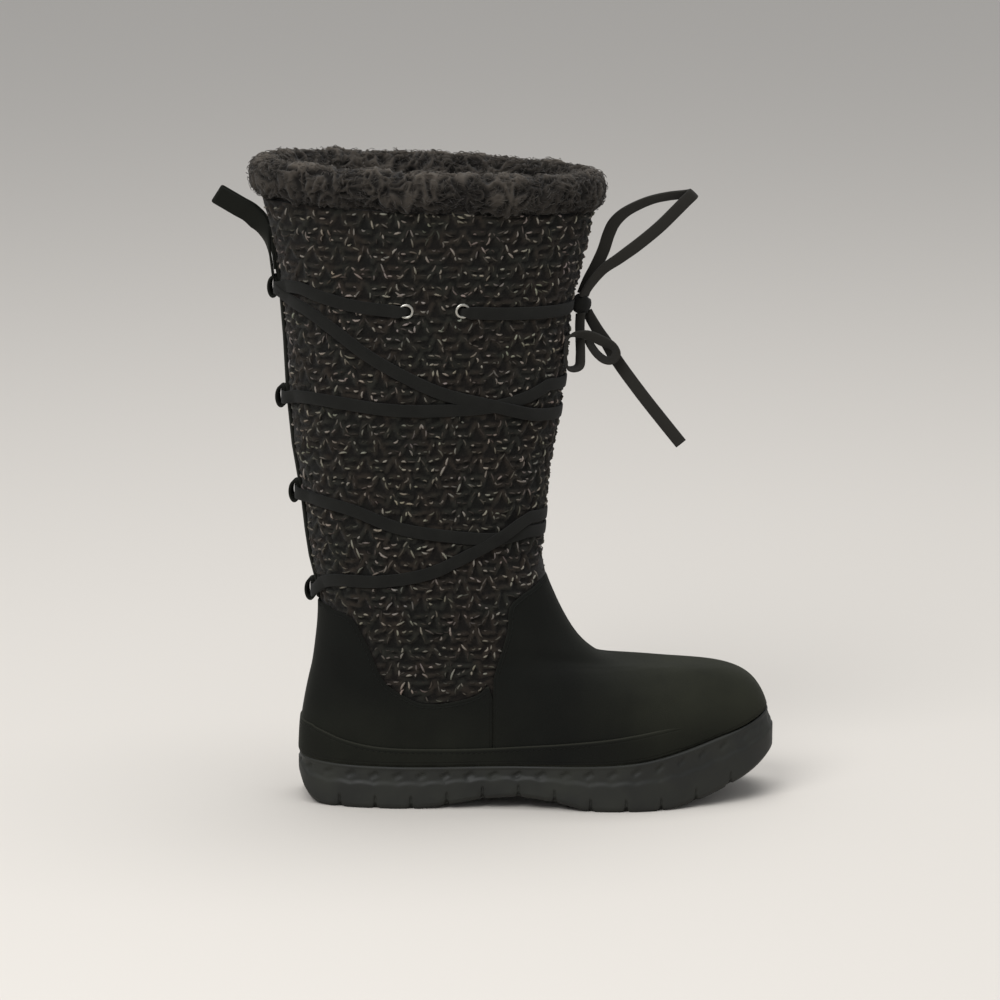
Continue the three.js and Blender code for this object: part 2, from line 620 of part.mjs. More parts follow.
function laceBand(table, from, to, steps, loop, mirror = false) {
  // A flat band whose height over the last follows the table, mirrored past the front.
  // Near the back it runs straight through the slot of its lace loop.
  const us = table.map((p) => p.u);
  const vs = table.map((p) => p.v);
  const slot = loop === undefined ? null : slotPlace(loop);
  const centre = (u) => {
    const wrapped = (u + 1) % 1;
    const side = wrapped <= 0.5 ? wrapped : 1 - wrapped;
    const v = smoothTable(us, vs, side);
    const point = onLast(wrapped, v, laceLift);
    const normal = outward(wrapped, v);
    if (slot && side < 0.25) {
      const near = strapWidth / 2 + 1.5;
      const reach = 1 - THREE.MathUtils.smoothstep(Math.abs(point.y), near, near * 2.4);
      point.x = THREE.MathUtils.lerp(point.x, slot.x, reach);
      point.z = THREE.MathUtils.lerp(point.z, slot.z, reach);
      normal.lerp(new THREE.Vector3(-1, 0, 0), reach).normalize();
    }
    return { point, normal };
  };
  const closed = to - from >= 1;
  const corners = [[-1, -1], [1, -1], [1, 1], [-1, 1]];
  const place = (a, b, target) => {
    const end = !closed && (a === 0 || a === 1);
    const inner = closed ? a % 1 : Math.min(Math.max((a * (steps + 2) - 1) / steps, 0), 1);
    const u = from + inner * (to - from);
    const { point, normal } = centre(u);
    const along = centre(u + 0.003).point.sub(centre(u - 0.003).point).normalize();
    const across = new THREE.Vector3().crossVectors(normal, along).normalize();
    const [w, h] = corners[Math.round(b * 4) % 4];
    target.copy(point);
    if (end) return;
    target.addScaledVector(across, w * laceWidth / 2).addScaledVector(normal, h * laceThickness / 2);
  };
  const geometry = new ParametricGeometry(place, closed ? steps : steps + 2, 4);
  if (mirror) geometry.scale(1, -1, 1);
  return toSolid(geometry);
}

function lastU(table) {
  return table[table.length - 1].u;
}

function makeUpperWrap() {
  const [, , middleLoop, topLoop] = loopRows;
  const top = courseTable('top', topLoop);
  return joined([
    laceBand(courseTable('steep', topLoop), 0, 1, 28, topLoop),
    laceBand(courseTable('flat', middleLoop), 0, 1, 28, middleLoop),
    laceBand(top, -lastU(top), lastU(top), 14, topLoop),
  ]);
}

function makeLowerWrap() {
  const [bottomLoop, ankleLoop] = loopRows;
  return joined([
    laceBand(courseTable('lowSteep', ankleLoop), 0, 1, 28, ankleLoop),
    laceBand(courseTable('lowFlat', bottomLoop), 0, 1, 28, bottomLoop),
  ]);
}

function makeFrontBar(mirror) {
  const table = courseTable('front');
  return laceBand(table, table[0].u, lastU(table), 8, undefined, mirror);
}

function makeEyelet(row, mirror) {
  const profile = [
    new THREE.Vector2(eyeletHole, 0), new THREE.Vector2(eyeletRadius, 0),
    new THREE.Vector2(eyeletRadius - 0.5, eyeletThickness), new THREE.Vector2(eyeletHole, eyeletThickness),
    new THREE.Vector2(eyeletHole, 0),
  ];
  const ring = new THREE.LatheGeometry(profile, 10);
  const { u, v } = surfacePlace(row.x * legDepth, row.z * rimHeight);
  const turn = new THREE.Quaternion().setFromUnitVectors(new THREE.Vector3(0, 1, 0), outward(u, v));
  const centre = onLast(u, v, gap);
  ring.applyQuaternion(turn);
  ring.translate(centre.x, centre.y, centre.z);
  if (mirror) ring.scale(1, -1, 1);
  return toSolid(ring);
}

function makeKnot() {
  const ball = new THREE.SphereGeometry(knotRadius, 8, 6);
  ball.scale(0.9, 0.85, 1.2);
  ball.translate(...knotPlace);
  return toSolid(ball);
}

function makeFreeLace(route, steps) {
  const section = new THREE.Shape();
  for (let i = 0; i < cordSides; i += 1) {
    const angle = (i + 0.5) / cordSides * Math.PI * 2;
    const x = Math.cos(angle) * laceThickness / 2;
    const y = Math.sin(angle) * laceWidth * 0.4;
    if (i) section.lineTo(x, y);
    else section.moveTo(x, y);
  }
  const path = new THREE.CatmullRomCurve3(route.map((p) => new THREE.Vector3(...p)));
  return toSolid(new THREE.ExtrudeGeometry(section, { steps, extrudePath: path }));
}

// The boot

const boot = new THREE.Group();
const finishes = {
  rubber: { color: colours.rubber, roughness: 0.7, metalness: 0 },
  knit: { color: colours.knit, roughness: 0.95, metalness: 0 },
  suede: { color: colours.suede, roughness: 0.95, metalness: 0 },
  pile: { color: colours.pile, roughness: 1, metalness: 0 },
  lace: { color: colours.lace, roughness: 0.9, metalness: 0 },
  metal: { color: colours.metal, roughness: 0.35, metalness: 1 },
  felt: { color: colours.felt, roughness: 1, metalness: 0 },
};

function add(name, finish, solid) {
  const mesh = new THREE.Mesh(toGeometry(solid), new THREE.MeshStandardMaterial(finishes[finish]));
  mesh.name = name;
  boot.add(mesh);
}

add('outsole', 'rubber', makeOutsole());
add('insole', 'felt', makeInsole());
add('upper', 'knit', makeUpper());
add('heel_counter', 'suede', suedeCover(counterEdge, gap));
add('vamp', 'suede', suedeCover(vampEdge, gap));
add('rand', 'suede', makeRand());
add('fur_cuff', 'pile', makeCuff());
add('back_strap', 'suede', makeBackStrap());
add('pull_loop', 'suede', makePullLoop());
for (const row of eyeletRows) {
  add(`eyelet_${row.name}_outer`, 'metal', makeEyelet(row, false));
  add(`eyelet_${row.name}_inner`, 'metal', makeEyelet(row, true));
}
add('lace_wrap_upper', 'lace', makeUpperWrap());
add('lace_wrap_lower', 'lace', makeLowerWrap());
add('lace_bar_outer', 'lace', makeFrontBar(false));
add('lace_bar_inner', 'lace', makeFrontBar(true));
add('lace_knot', 'lace', makeKnot());
add('lace_bow_up', 'lace', makeFreeLace(bowRoute, 18));
add('lace_bow_low', 'lace', makeFreeLace(lowLoopRoute, 16));
add('lace_end', 'lace', makeFreeLace(endRoute, 5));

export default boot;
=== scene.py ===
# %% [markdown]
# # A winter boot with a marled knit shaft
#
# This lesson dresses one right boot: a rubber sole, black suede round the foot, a tall knitted shaft,
# a rolled cuff of curly pile and a flat suede lace wound over it all. Every piece follows one shape,
# the last, so the lesson first writes down the last and then wraps each material over it.

# %% Load the frame
import math

import bmesh
import bpy
import numpy as np
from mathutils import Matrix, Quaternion, Vector, kdtree, noise


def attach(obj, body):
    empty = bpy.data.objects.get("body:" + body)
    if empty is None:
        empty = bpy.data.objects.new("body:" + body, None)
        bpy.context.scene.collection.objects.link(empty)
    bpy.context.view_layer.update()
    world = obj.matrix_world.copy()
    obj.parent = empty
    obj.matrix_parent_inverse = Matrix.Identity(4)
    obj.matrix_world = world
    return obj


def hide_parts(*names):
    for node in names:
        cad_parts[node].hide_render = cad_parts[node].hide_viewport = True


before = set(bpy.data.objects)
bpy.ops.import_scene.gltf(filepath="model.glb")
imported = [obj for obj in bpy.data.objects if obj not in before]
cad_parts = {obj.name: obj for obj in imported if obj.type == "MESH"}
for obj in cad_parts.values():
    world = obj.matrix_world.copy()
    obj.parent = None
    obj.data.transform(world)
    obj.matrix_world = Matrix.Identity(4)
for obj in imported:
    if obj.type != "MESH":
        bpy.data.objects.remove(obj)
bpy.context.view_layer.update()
bpy.context.scene.view_settings.view_transform = "Standard"
MM = 0.001
RNG = np.random.default_rng(7)
noise.seed_set(7)                          # else Blender seeds its noise vectors from the clock

# %% [markdown]
# ## The camera
#
# A phone about three metres away and eleven degrees up saw the boot from its outer side, a little from
# behind. A long lens keeps the rims nearly parallel. The distance is a round number that was chosen. The
# others were found by laying the boot's outline over the picture until both agreed.

# %% Place the camera
CAMERA_DISTANCE = 3.0                      # metres
CAMERA_ELEVATION = math.radians(11.0)
CAMERA_TURN = math.radians(2.367)          # towards the heel
CAMERA_ROLL = math.radians(-0.322)
CAMERA_TARGET = Vector((75.8, 0, 170.3)) * MM
PICTURE_WIDTH = 1000                       # pixels
FOCAL_PIXELS = 5300.6
SENSOR_WIDTH = 36.0

look = Vector((
    math.sin(CAMERA_TURN) * math.cos(CAMERA_ELEVATION),
    math.cos(CAMERA_TURN) * math.cos(CAMERA_ELEVATION),
    -math.sin(CAMERA_ELEVATION),
))
camera_data = bpy.data.cameras.new("camera")
camera_data.sensor_width = SENSOR_WIDTH
camera_data.lens = FOCAL_PIXELS / PICTURE_WIDTH * SENSOR_WIDTH
camera_data.clip_end = 20
camera = bpy.data.objects.new("camera", camera_data)
bpy.context.collection.objects.link(camera)
camera.location = CAMERA_TARGET - look * CAMERA_DISTANCE
camera.rotation_mode = "QUATERNION"
camera.rotation_quaternion = Quaternion(look, CAMERA_ROLL) @ look.to_track_quat("-Z", "Y")
bpy.context.scene.camera = camera
print("camera at, mm:", [round(c / MM) for c in camera.location], "lens", round(camera_data.lens, 1))

# %% [markdown]
# ## Small tools
#
# One function turns an sRGB hex value into the linear numbers that the shader wants. One adds a shader
# node with its settings and links, and a few short ones on top of it make the grains, colours, ranges and
# bumps that every material here is built of. Two more build meshes out of arrays. Points are kept in
# millimetres, as a pattern cutter would write them, and only become metres when a mesh is made.

# %% Colour, node and mesh helpers
def linear(hex_colour):
    """An sRGB hex value as linear red, green, blue and alpha."""
    parts = [int(hex_colour[i:i + 2], 16) / 255 for i in (1, 3, 5)]
    return [p / 12.92 if p <= 0.04045 else ((p + 0.055) / 1.055) ** 2.4 for p in parts] + [1.0]


def add_node(tree, kind, inputs, **settings):
    """Adds one shader node; an input is a plain value or the socket that feeds it."""
    node = tree.nodes.new("ShaderNode" + kind)
    for name, value in settings.items():
        setattr(node, name, value)
    for name, value in inputs.items():
        if isinstance(value, bpy.types.NodeSocket):
            tree.links.new(value, node.inputs[name])
        else:
            node.inputs[name].default_value = value
    return node


def start_material(name, sockets):
    """A new material, its node tree, its shader and the object's own coordinates."""
    material = bpy.data.materials.new(name)
    material.use_nodes = True
    tree = material.node_tree
    shader = tree.nodes["Principled BSDF"]
    for socket, value in sockets.items():
        shader.inputs[socket].default_value = value
    place = add_node(tree, "TexCoord", {}).outputs["Object"]
    return material, tree, shader, place


def grain(tree, place, size, detail):
    """Noise with grains of about this size in millimetres."""
    inputs = {"Vector": place, "Scale": 1 / (size * MM), "Detail": detail}
    return add_node(tree, "TexNoise", inputs).outputs["Fac"]


def blend(tree, share, low, high):
    """A colour between two, each a hex value or the socket of a colour."""
    low, high = (linear(c) if isinstance(c, str) else c for c in (low, high))
    return add_node(tree, "Mix", {0: share, 6: low, 7: high}, data_type="RGBA").outputs[2]


def ramp(tree, value, low, high, to_low=0.0, to_high=1.0):
    """A value's range from low to high, laid over another range."""
    inputs = {"Value": value, "From Min": low, "From Max": high, "To Min": to_low, "To Max": to_high}
    return add_node(tree, "MapRange", inputs).outputs["Result"]


def raised(tree, height, strength, depth, over=None):
    """The normal of a bump some millimetres deep, over another bump if one is given."""
    inputs = {"Height": height, "Strength": strength, "Distance": depth * MM}
    if over is not None:
        inputs["Normal"] = over
    return add_node(tree, "Bump", inputs).outputs["Normal"]


def number_on(tree, key):
    """The number that each point of the mesh carries under this name."""
    return add_node(tree, "Attribute", {}, attribute_name=key).outputs["Fac"]


def grid_faces(rows, columns, close_rows=False, close_columns=False):
    """Quads between the points of a grid that is stored row by row."""
    r = np.arange(rows if close_rows else rows - 1)
    c = np.arange(columns if close_columns else columns - 1)
    r, c = np.meshgrid(r, c, indexing="ij")
    r2, c2 = (r + 1) % rows, (c + 1) % columns
    corners = [r * columns + c, r * columns + c2, r2 * columns + c2, r2 * columns + c]
    return np.stack(corners, -1).reshape(-1, 4)


def make_piece(name, points, faces, material, stands_for=(), values=None, smooth=True):
    """A mesh that rides on the boot, from points in millimetres; values are per-point numbers."""
    points = np.asarray(points, float).reshape(-1, 3)
    if not isinstance(faces, list):        # a corner that a face names twice is kept once
        faces = [list(dict.fromkeys(f)) for f in np.asarray(faces).tolist()]
    mesh = bpy.data.meshes.new(name)
    mesh.from_pydata((points * MM).tolist(), [], [f for f in faces if len(f) > 2])
    for key, numbers in (values or {}).items():
        layer = mesh.attributes.new(key, "FLOAT", "POINT")
        layer.data.foreach_set("value", np.asarray(numbers, np.float32).ravel())
    mesh.validate()
    mesh.shade_smooth() if smooth else mesh.shade_flat()
    mesh.materials.append(material)
    piece = bpy.data.objects.new(name, mesh)
    bpy.context.collection.objects.link(piece)
    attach(piece, "root")
    if stands_for:
        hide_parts(*stands_for)
    print(name, "-", sum(len(p.vertices) - 2 for p in mesh.polygons), "triangles")
    return piece


def unit(vectors):
    """The same directions at length one."""
    return vectors / np.maximum(np.linalg.norm(vectors, axis=-1, keepdims=True), 1e-9)


def smooth_step(low, high, at):
    """0 below low, 1 above high, and soft between."""
    t = np.clip((np.asarray(at, float) - low) / (high - low), 0, 1)
    return t * t * (3 - 2 * t)


# %% [markdown]
# ## The free lace
#
# The lace is one flat suede thong, about seven millimetres wide. At the front it is tied in a bow: a long
# loop that stands up, a small loop that hangs, and one loose end. Each is a cord with a real length, so
# each has a given route. The suede is cut from split hide, so its two faces have a nap and its
# edges are plain cuts. A band swept along the route keeps the flat section that a round tube would lose.

# %% Sizes and routes of the lace
LACE_WIDTH = 7.0
LACE_THICKNESS = 1.5
LACE_CUP = 0.25                            # how far the edges of the free lace curl back
CORNER_SHARE = 0.36                        # a band's corner radius, in thicknesses
ROUTE_STEP = 0.7
FREE_LACE_LIGHT = 0.6                              # how far the free lace is painted lighter, as painted light on the bow and loose end
BOW_ROUTE = [
    (121.8, -3.4, 287.2), (125.4, -4.6, 293.6), (132.8, -5.6, 302.7), (142.1, -6.2, 309.5),
    (153.2, -6.6, 317.9), (164.3, -6.8, 327.3), (173.6, -6.8, 336.6), (178.8, -6.6, 341.9),
    (182.1, -6.0, 345), (183.2, -4.3, 346), (181.6, -2.6, 345.6), (178.3, -2.3, 345.1),
    (169.9, -2.4, 344.2), (160.6, -2.6, 342.3), (151.3, -2.6, 338.6), (143.8, -2.4, 334.1),
    (138.7, -2, 328.6), (135.9, -1.6, 322.4), (133.2, -1.2, 313.6), (129, -0.8, 304),
    (124.8, -0.2, 295.6), (121.8, 0.6, 288),
]
LOW_LOOP_ROUTE = [
    (120.2, -2.4, 277.6), (119.8, -4.5, 271.4), (119.9, -7, 263.2), (120, -9, 254),
    (119.4, -10.4, 249), (116.4, -12.2, 247.6), (112.8, -13.8, 248.4), (111.4, -14.6, 252),
    (111.2, -14.8, 259), (112, -14.4, 264.4), (115.4, -13.2, 266.9), (119.9, -12, 267.1),
    (125.5, -11, 266), (132.3, -9.8, 262.8), (137.9, -8.8, 260), (140.4, -8, 255.9),
    (138.4, -7.6, 252.2), (134.6, -7, 251.8), (130.6, -6.4, 254.4), (127, -5.4, 258.8),
    (124.4, -4.4, 263.6),
]
END_ROUTE = [
    (124, 0.6, 278.4), (126.4, 0, 274), (130.4, -1, 267.4), (135.2, -2, 260.6), (140, -2.6, 252.4),
    (154.3, -3, 232.7), (166.9, -3.4, 216.7), (177.8, -3.8, 203.2),
]
KNOT_PLACE = np.array([120.9, -1.0, 282.9])


def smooth_route(route, step):
    """Points about a step apart on the centripetal curve through the route."""
    p = np.array(route, float)
    p = np.vstack([2 * p[0] - p[1], p, 2 * p[-1] - p[-2]])
    out = [p[1]]
    for k in range(1, len(p) - 2):
        a, b, c, d = p[k - 1:k + 3]
        t1 = np.linalg.norm(b - a) ** 0.5
        t2 = t1 + np.linalg.norm(c - b) ** 0.5
        t3 = t2 + np.linalg.norm(d - c) ** 0.5
        count = max(int(np.linalg.norm(c - b) / step), 2)
        for t in np.linspace(t1, t2, count + 1)[1:]:
            ab = a + (b - a) * t / t1
            bc = b + (c - b) * (t - t1) / (t2 - t1)
            cd = c + (d - c) * (t - t2) / (t3 - t2)
            abc = ab + (bc - ab) * t / t2
            bcd = bc + (cd - bc) * (t - t1) / (t3 - t1)
            out.append(abc + (bcd - abc) * (t - t1) / (t2 - t1))
    return np.array(out)


def band_section(width, thickness, corner_steps=3):
    """The outline of a flat strip with soft corners: across, and out of its face."""
    radius = thickness * CORNER_SHARE
    points = []
    for sx, sy, start in ((1, -1, -90), (1, 1, 0), (-1, 1, 90), (-1, -1, 180)):
        centre = np.array([sx * (width / 2 - radius), sy * (thickness / 2 - radius)])
        for i in range(corner_steps):
            angle = math.radians(start + 90 * i / (corner_steps - 1))
            points.append(centre + radius * np.array([math.cos(angle), math.sin(angle)]))
    low, high = ([np.array([x * width / 2, side * thickness / 2]) for x in (-0.45, 0, 0.45)]
                 for side in (-1, 1))
    half = corner_steps * 2
    return np.array(points[:half] + high[::-1] + points[half:] + low)


def sweep_band(path, normals, width=LACE_WIDTH, thickness=LACE_THICKNESS, closed=False, cup=0.0, narrow=1.0):
    """Points and faces of a flat band that faces its normals; narrow scales its width on the way."""
    section = band_section(width, thickness)
    if closed:
        along = unit(np.roll(path, -1, 0) - np.roll(path, 1, 0))
    else:
        along = unit(np.gradient(path, axis=0))
    across = unit(np.cross(normals, along))
    up = unit(np.cross(along, across))
    lift = section[:, 1] - cup * (section[:, 0] / (width / 2)) ** 2
    wide = section[None, :, :1] * np.broadcast_to(narrow, len(path))[:, None, None]
    rings = path[:, None] + across[:, None] * wide + up[:, None] * lift[None, :, None]
    rows, columns = rings.shape[:2]
    faces = grid_faces(rows, columns, close_rows=closed, close_columns=True).tolist()
    if not closed:
        faces.append(list(range(columns))[::-1])
        faces.append(list(range((rows - 1) * columns, rows * columns)))
    return rings.reshape(-1, 3), faces


def join_parts(parts):
    """Several points-and-faces pairs as one."""
    points, faces, start = [], [], 0
    for part_points, part_faces in parts:
        points.append(np.asarray(part_points))
        faces += [[i + start for i in f] for f in part_faces]
        start += len(part_points)
    return np.vstack(points), faces


# %% Suede of the lace
# Split hide: no grain is left, so the face is a short nap that scatters light and hardly shines.
NAP_SIZE = 0.5                             # millimetres, coarser than real so that it shows
lace_suede, tree, shader, place = start_material(
    "split_suede_lace_cut", {"Roughness": 0.95, "IOR": 1.45, "Specular IOR Level": 0.2, "Sheen Weight": 0.05,
                             "Sheen Roughness": 0.6})
patches = grain(tree, place, 9, 3.0)
nap = grain(tree, place, NAP_SIZE, 4.0)
tint = blend(tree, patches, "#0b0b09", "#191916")
# The free lace is painted lighter here, as painted light on the bow and its loose end.
tint = blend(tree, number_on(tree, "painted_light"), tint, "#2b2925")
tree.links.new(tint, shader.inputs["Base Color"])
tree.links.new(raised(tree, nap, 0.5, 0.25), shader.inputs["Normal"])


# %% Tie the bow
def carried_normals(path, first):
    """Face directions that turn with the path as a strip of paper would, without any twist of their own."""
    along = unit(np.gradient(path, axis=0))
    normals = [unit(first - along[0] * (first @ along[0]))]
    for direction in along[1:]:
        normals.append(unit(normals[-1] - direction * (normals[-1] @ direction)))
    return np.array(normals), along


def free_lace(name, route, node, twists):
    """One free stretch of lace that faces the viewer at first; twists are share of the way and degrees."""
    path = smooth_route(route, ROUTE_STEP)
    flat, along = carried_normals(path, np.array([0.0, -1.0, 0.0]))
    side = np.cross(along, flat)
    run = np.linspace(0, 1, len(path))
    turn = np.radians(np.interp(run, [t[0] for t in twists], [t[1] for t in twists]))[:, None]
    normals = flat * np.cos(turn) + side * np.sin(turn)
    points, faces = sweep_band(path, normals, cup=LACE_CUP)
    piece = make_piece(name, points, faces, lace_suede, [node],
                       values={"painted_light": np.full(len(points), FREE_LACE_LIGHT)})


free_lace("bow_loop", BOW_ROUTE, "lace_bow_up",
          [(0, 50), (0.1, 35), (0.22, 5), (0.45, 0), (0.6, 0), (0.7, 12), (0.8, 50), (0.92, 62), (1, 40)])
free_lace("hanging_loop", LOW_LOOP_ROUTE, "lace_bow_low",
          [(0, 50), (0.2, 52), (0.32, 44), (0.45, 50), (0.52, 35), (0.6, 8), (0.7, 4), (0.78, 40),
           (0.86, 62), (1, 64)])
free_lace("loose_end", END_ROUTE, "lace_end", [(0, 40), (0.25, 14), (0.5, 2), (1, 0)])

# %% [markdown]
# ## Floor and light
#
# The boot stands on plain pale paper. Two wide soft lights and an even surround leave one soft shadow
# under the sole, so that black suede and dark wool still show their surface.

# %% Floor
FLOOR_HALF = 6.0
paper, tree, shader, place = start_material("matt_paper_floor", {"Roughness": 0.9, "IOR": 1.45})
shader.inputs["Base Color"].default_value = linear("#cfcac3")
floor_mesh = bpy.data.meshes.new("floor")
floor_corners = [(x * FLOOR_HALF, y * FLOOR_HALF, 0) for x, y in ((-1, -1), (1, -1), (1, 1), (-1, 1))]
floor_mesh.from_pydata(floor_corners, [], [(0, 1, 2, 3)])
floor_mesh.materials.append(paper)
floor = bpy.data.objects.new("floor", floor_mesh)
bpy.context.collection.objects.link(floor)


# %% Lights
def soft_light(name, place, size, power):
    """A wide area light that looks at the middle of the boot."""
    data = bpy.data.lights.new(name, "AREA")
    data.shape = "DISK"
    data.size = size
    data.energy = power
    light = bpy.data.objects.new(name, data)
    light.location = place
    light.rotation_euler = (CAMERA_TARGET - Vector(place)).to_track_quat("-Z", "Y").to_euler()
    bpy.context.collection.objects.link(light)


# Name, place in metres, diameter in metres and power in watts.
soft_light("window_light", (-0.9, -1.7, 1.9), 1.6, 42)
soft_light("top_light", (0.3, 0.2, 2.4), 2.0, 30)
SURROUND_COLOUR = (0.95, 0.97, 1.0, 1)
SURROUND_STRENGTH = 0.55
world = bpy.data.worlds.new("surround")
world.use_nodes = True
world.node_tree.nodes["Background"].inputs["Color"].default_value = SURROUND_COLOUR
world.node_tree.nodes["Background"].inputs["Strength"].default_value = SURROUND_STRENGTH
bpy.context.scene.world = world

# %% [markdown]
# ## The last
#
# A shoemaker pulls the upper over a last, a solid foot. Here it is a stack of closed loops. Each loop
# lies in a plane that runs from a point at the back to a point at the front, and has four widths on the
# way: heel, waist, ball and toe. The table is written in shares of the shoe's own sizes. A smooth curve
# between the rows gives any point of the surface, so every piece can lie on it at its own height.

# %% Sizes and sections
FOOT_LENGTH = 265.0
BALL_WIDTH = 92.0
INSTEP_HEIGHT = 77.0
LEG_DEPTH = 186.0
LEG_WIDTH = 92.0
RIM_HEIGHT = 344.0
WALL = 3.0
SUEDE = 1.4
GAP = 0.3
COLUMNS = ("back_x", "back_z", "front_x", "front_z", "heel", "waist", "ball", "toe", "blunt", "turn")
FOOT_ROWS = np.array([
    [-0.137, 0.16, 0.857, 0.42, 0.67, 0.67, 0.98, 0.71, 0.58, 0.1],
    [-0.136, 0.38, 0.862, 0.6, 0.69, 0.68, 1, 0.71, 0.58, 0.1],
    [-0.133, 0.56, 0.85, 0.74, 0.69, 0.68, 0.98, 0.67, 0.59, 0.1],
    [-0.126, 0.72, 0.82, 0.862, 0.68, 0.68, 0.92, 0.58, 0.62, 0.09],
    [-0.118, 0.86, 0.77, 0.935, 0.67, 0.68, 0.82, 0.49, 0.66, 0.07],
    [-0.109, 1, 0.7, 0.957, 0.66, 0.68, 0.74, 0.45, 0.7, 0.05],
    [-0.103, 1.15, 0.615, 0.968, 0.65, 0.69, 0.69, 0.44, 0.74, 0.03],
    [-0.098, 1.32, 0.535, 1, 0.64, 0.71, 0.69, 0.46, 0.78, 0.01],
    [-0.097, 1.49, 0.482, 1.09, 0.63, 0.74, 0.71, 0.49, 0.8, 0],
])
SHAFT_ROWS = np.array([
    [-0.145, 0.365, 0.626, 0.278, 0.62, 0.77, 0.73, 0.5, 0.83, 0],
    [-0.163, 0.404, 0.57, 0.334, 0.6, 0.79, 0.74, 0.51, 0.86, 0],
    [-0.175, 0.447, 0.532, 0.395, 0.6, 0.8, 0.74, 0.52, 0.88, 0],
    [-0.187, 0.505, 0.538, 0.467, 0.62, 0.83, 0.76, 0.53, 0.9, 0],
    [-0.214, 0.59, 0.555, 0.557, 0.65, 0.87, 0.8, 0.56, 0.9, 0],
    [-0.231, 0.68, 0.582, 0.645, 0.68, 0.91, 0.84, 0.58, 0.9, 0],
    [-0.24, 0.77, 0.604, 0.74, 0.7, 0.95, 0.88, 0.6, 0.9, 0],
    [-0.252, 0.85, 0.616, 0.825, 0.72, 0.98, 0.91, 0.62, 0.9, 0],
    [-0.276, 0.925, 0.65, 0.9, 0.73, 1, 0.93, 0.63, 0.9, 0],
    [-0.312, 1, 0.68, 0.977, 0.73, 1, 0.93, 0.63, 0.9, 0],
])
STATIONS = np.array([0, 0.13, 0.42, 0.7, 0.9, 1])
TURN_AT = np.array([0, 0, -0.5, 0.05, 0.65, 0.9])


def in_millimetres(rows, long, high, wide):
    """The table's shares as real sizes."""
    return rows * np.array([long, high, long, high, wide, wide, wide, wide, 1, wide])


LAST = np.vstack([
    in_millimetres(FOOT_ROWS, FOOT_LENGTH, INSTEP_HEIGHT, BALL_WIDTH),
    in_millimetres(SHAFT_ROWS, LEG_DEPTH, RIM_HEIGHT, LEG_WIDTH),
])
RINGS = len(LAST) - 1
PLACES = np.arange(RINGS + 1) / RINGS


# %% The surface of the last
def smooth_table(places, values, at):
    """A smooth curve through the values, with the slope of its neighbours at each place."""
    places, values, at = np.asarray(places, float), np.asarray(values, float), np.asarray(at, float)
    last = len(places) - 1
    low = np.maximum(np.arange(last + 1) - 1, 0)
    high = np.minimum(np.arange(last + 1) + 1, last)
    slopes = (values[..., high] - values[..., low]) / (places[high] - places[low])
    at = np.clip(at, places[0], places[-1])
    k = np.clip(np.searchsorted(places, at) - 1, 0, last - 1)
    span = places[k + 1] - places[k]
    t = (at - places[k]) / span

    def pick(table, i):
        return table[i] if table.ndim == 1 else np.take_along_axis(table, i[..., None], axis=-1)[..., 0]

    return ((1 + 2 * t) * (1 - t) ** 2 * pick(values, k) + t * (1 - t) ** 2 * span * pick(slopes, k)
            + t * t * (3 - 2 * t) * pick(values, k + 1) + t * t * (t - 1) * span * pick(slopes, k + 1))


def section_at(v):
    """Every column of the table at height v."""
    return {name: smooth_table(PLACES, LAST[:, i], v) for i, name in enumerate(COLUMNS)}


def along_section(section, u):
    """Share of the length and sideways place at u: outer side from back to front, then the inner side."""
    outer = u <= 0.5
    half = np.where(outer, u * 2, 2 - u * 2)
    near, far = half ** (1 / section["blunt"]), (1 - half) ** (1 / section["blunt"])
    angle = np.pi * near / (near + far)
    share = (1 - np.cos(angle)) / 2
    widths = []
    for name, at in zip(("heel", "waist", "ball", "toe"), STATIONS[1:5]):
        widths.append(section[name] / (2 * np.sqrt(at * (1 - at))) ** section["blunt"])
    widths = np.broadcast_arrays(widths[0], *widths, widths[3], share)[:6]
    width = smooth_table(STATIONS, np.stack(widths, -1), share)
    middle = section["turn"] * smooth_table(STATIONS, TURN_AT, share)
    return share, middle + np.where(outer, -0.5, 0.5) * width * np.sin(angle) ** section["blunt"]


def bare(u, v):
    """Points of the last itself."""
    u, v = np.broadcast_arrays(np.asarray(u, float) % 1, np.asarray(v, float))
    section = section_at(v)
    share, y = along_section(section, u)
    x = section["back_x"] + (section["front_x"] - section["back_x"]) * share
    z = section["back_z"] + (section["front_z"] - section["back_z"]) * share
    return np.stack([x, y, z], -1)


def outward(u, v):
    """Directions straight out of the last."""
    small = 0.004
    u, v = np.broadcast_arrays(np.asarray(u, float), np.asarray(v, float))
    along_u = bare(u + small, v) - bare(u - small, v)
    along_v = bare(u, np.minimum(v + small, 1)) - bare(u, np.maximum(v - small, 0))
    return unit(np.cross(along_u, along_v))


def on_last(u, v, lift):
    """Points at a height over the last."""
    return bare(u, v) + outward(u, v) * np.asarray(lift, float)[..., None]


def even_turns(count, v):
    """Values of u that lie evenly far apart round the last at height v."""
    fine = np.linspace(0, 1, 2001)
    ring = bare(fine, np.full_like(fine, v))
    run = np.concatenate([[0], np.cumsum(np.linalg.norm(np.diff(ring, axis=0), axis=1))])
    return np.interp(np.arange(count) / count * run[-1], run, fine)


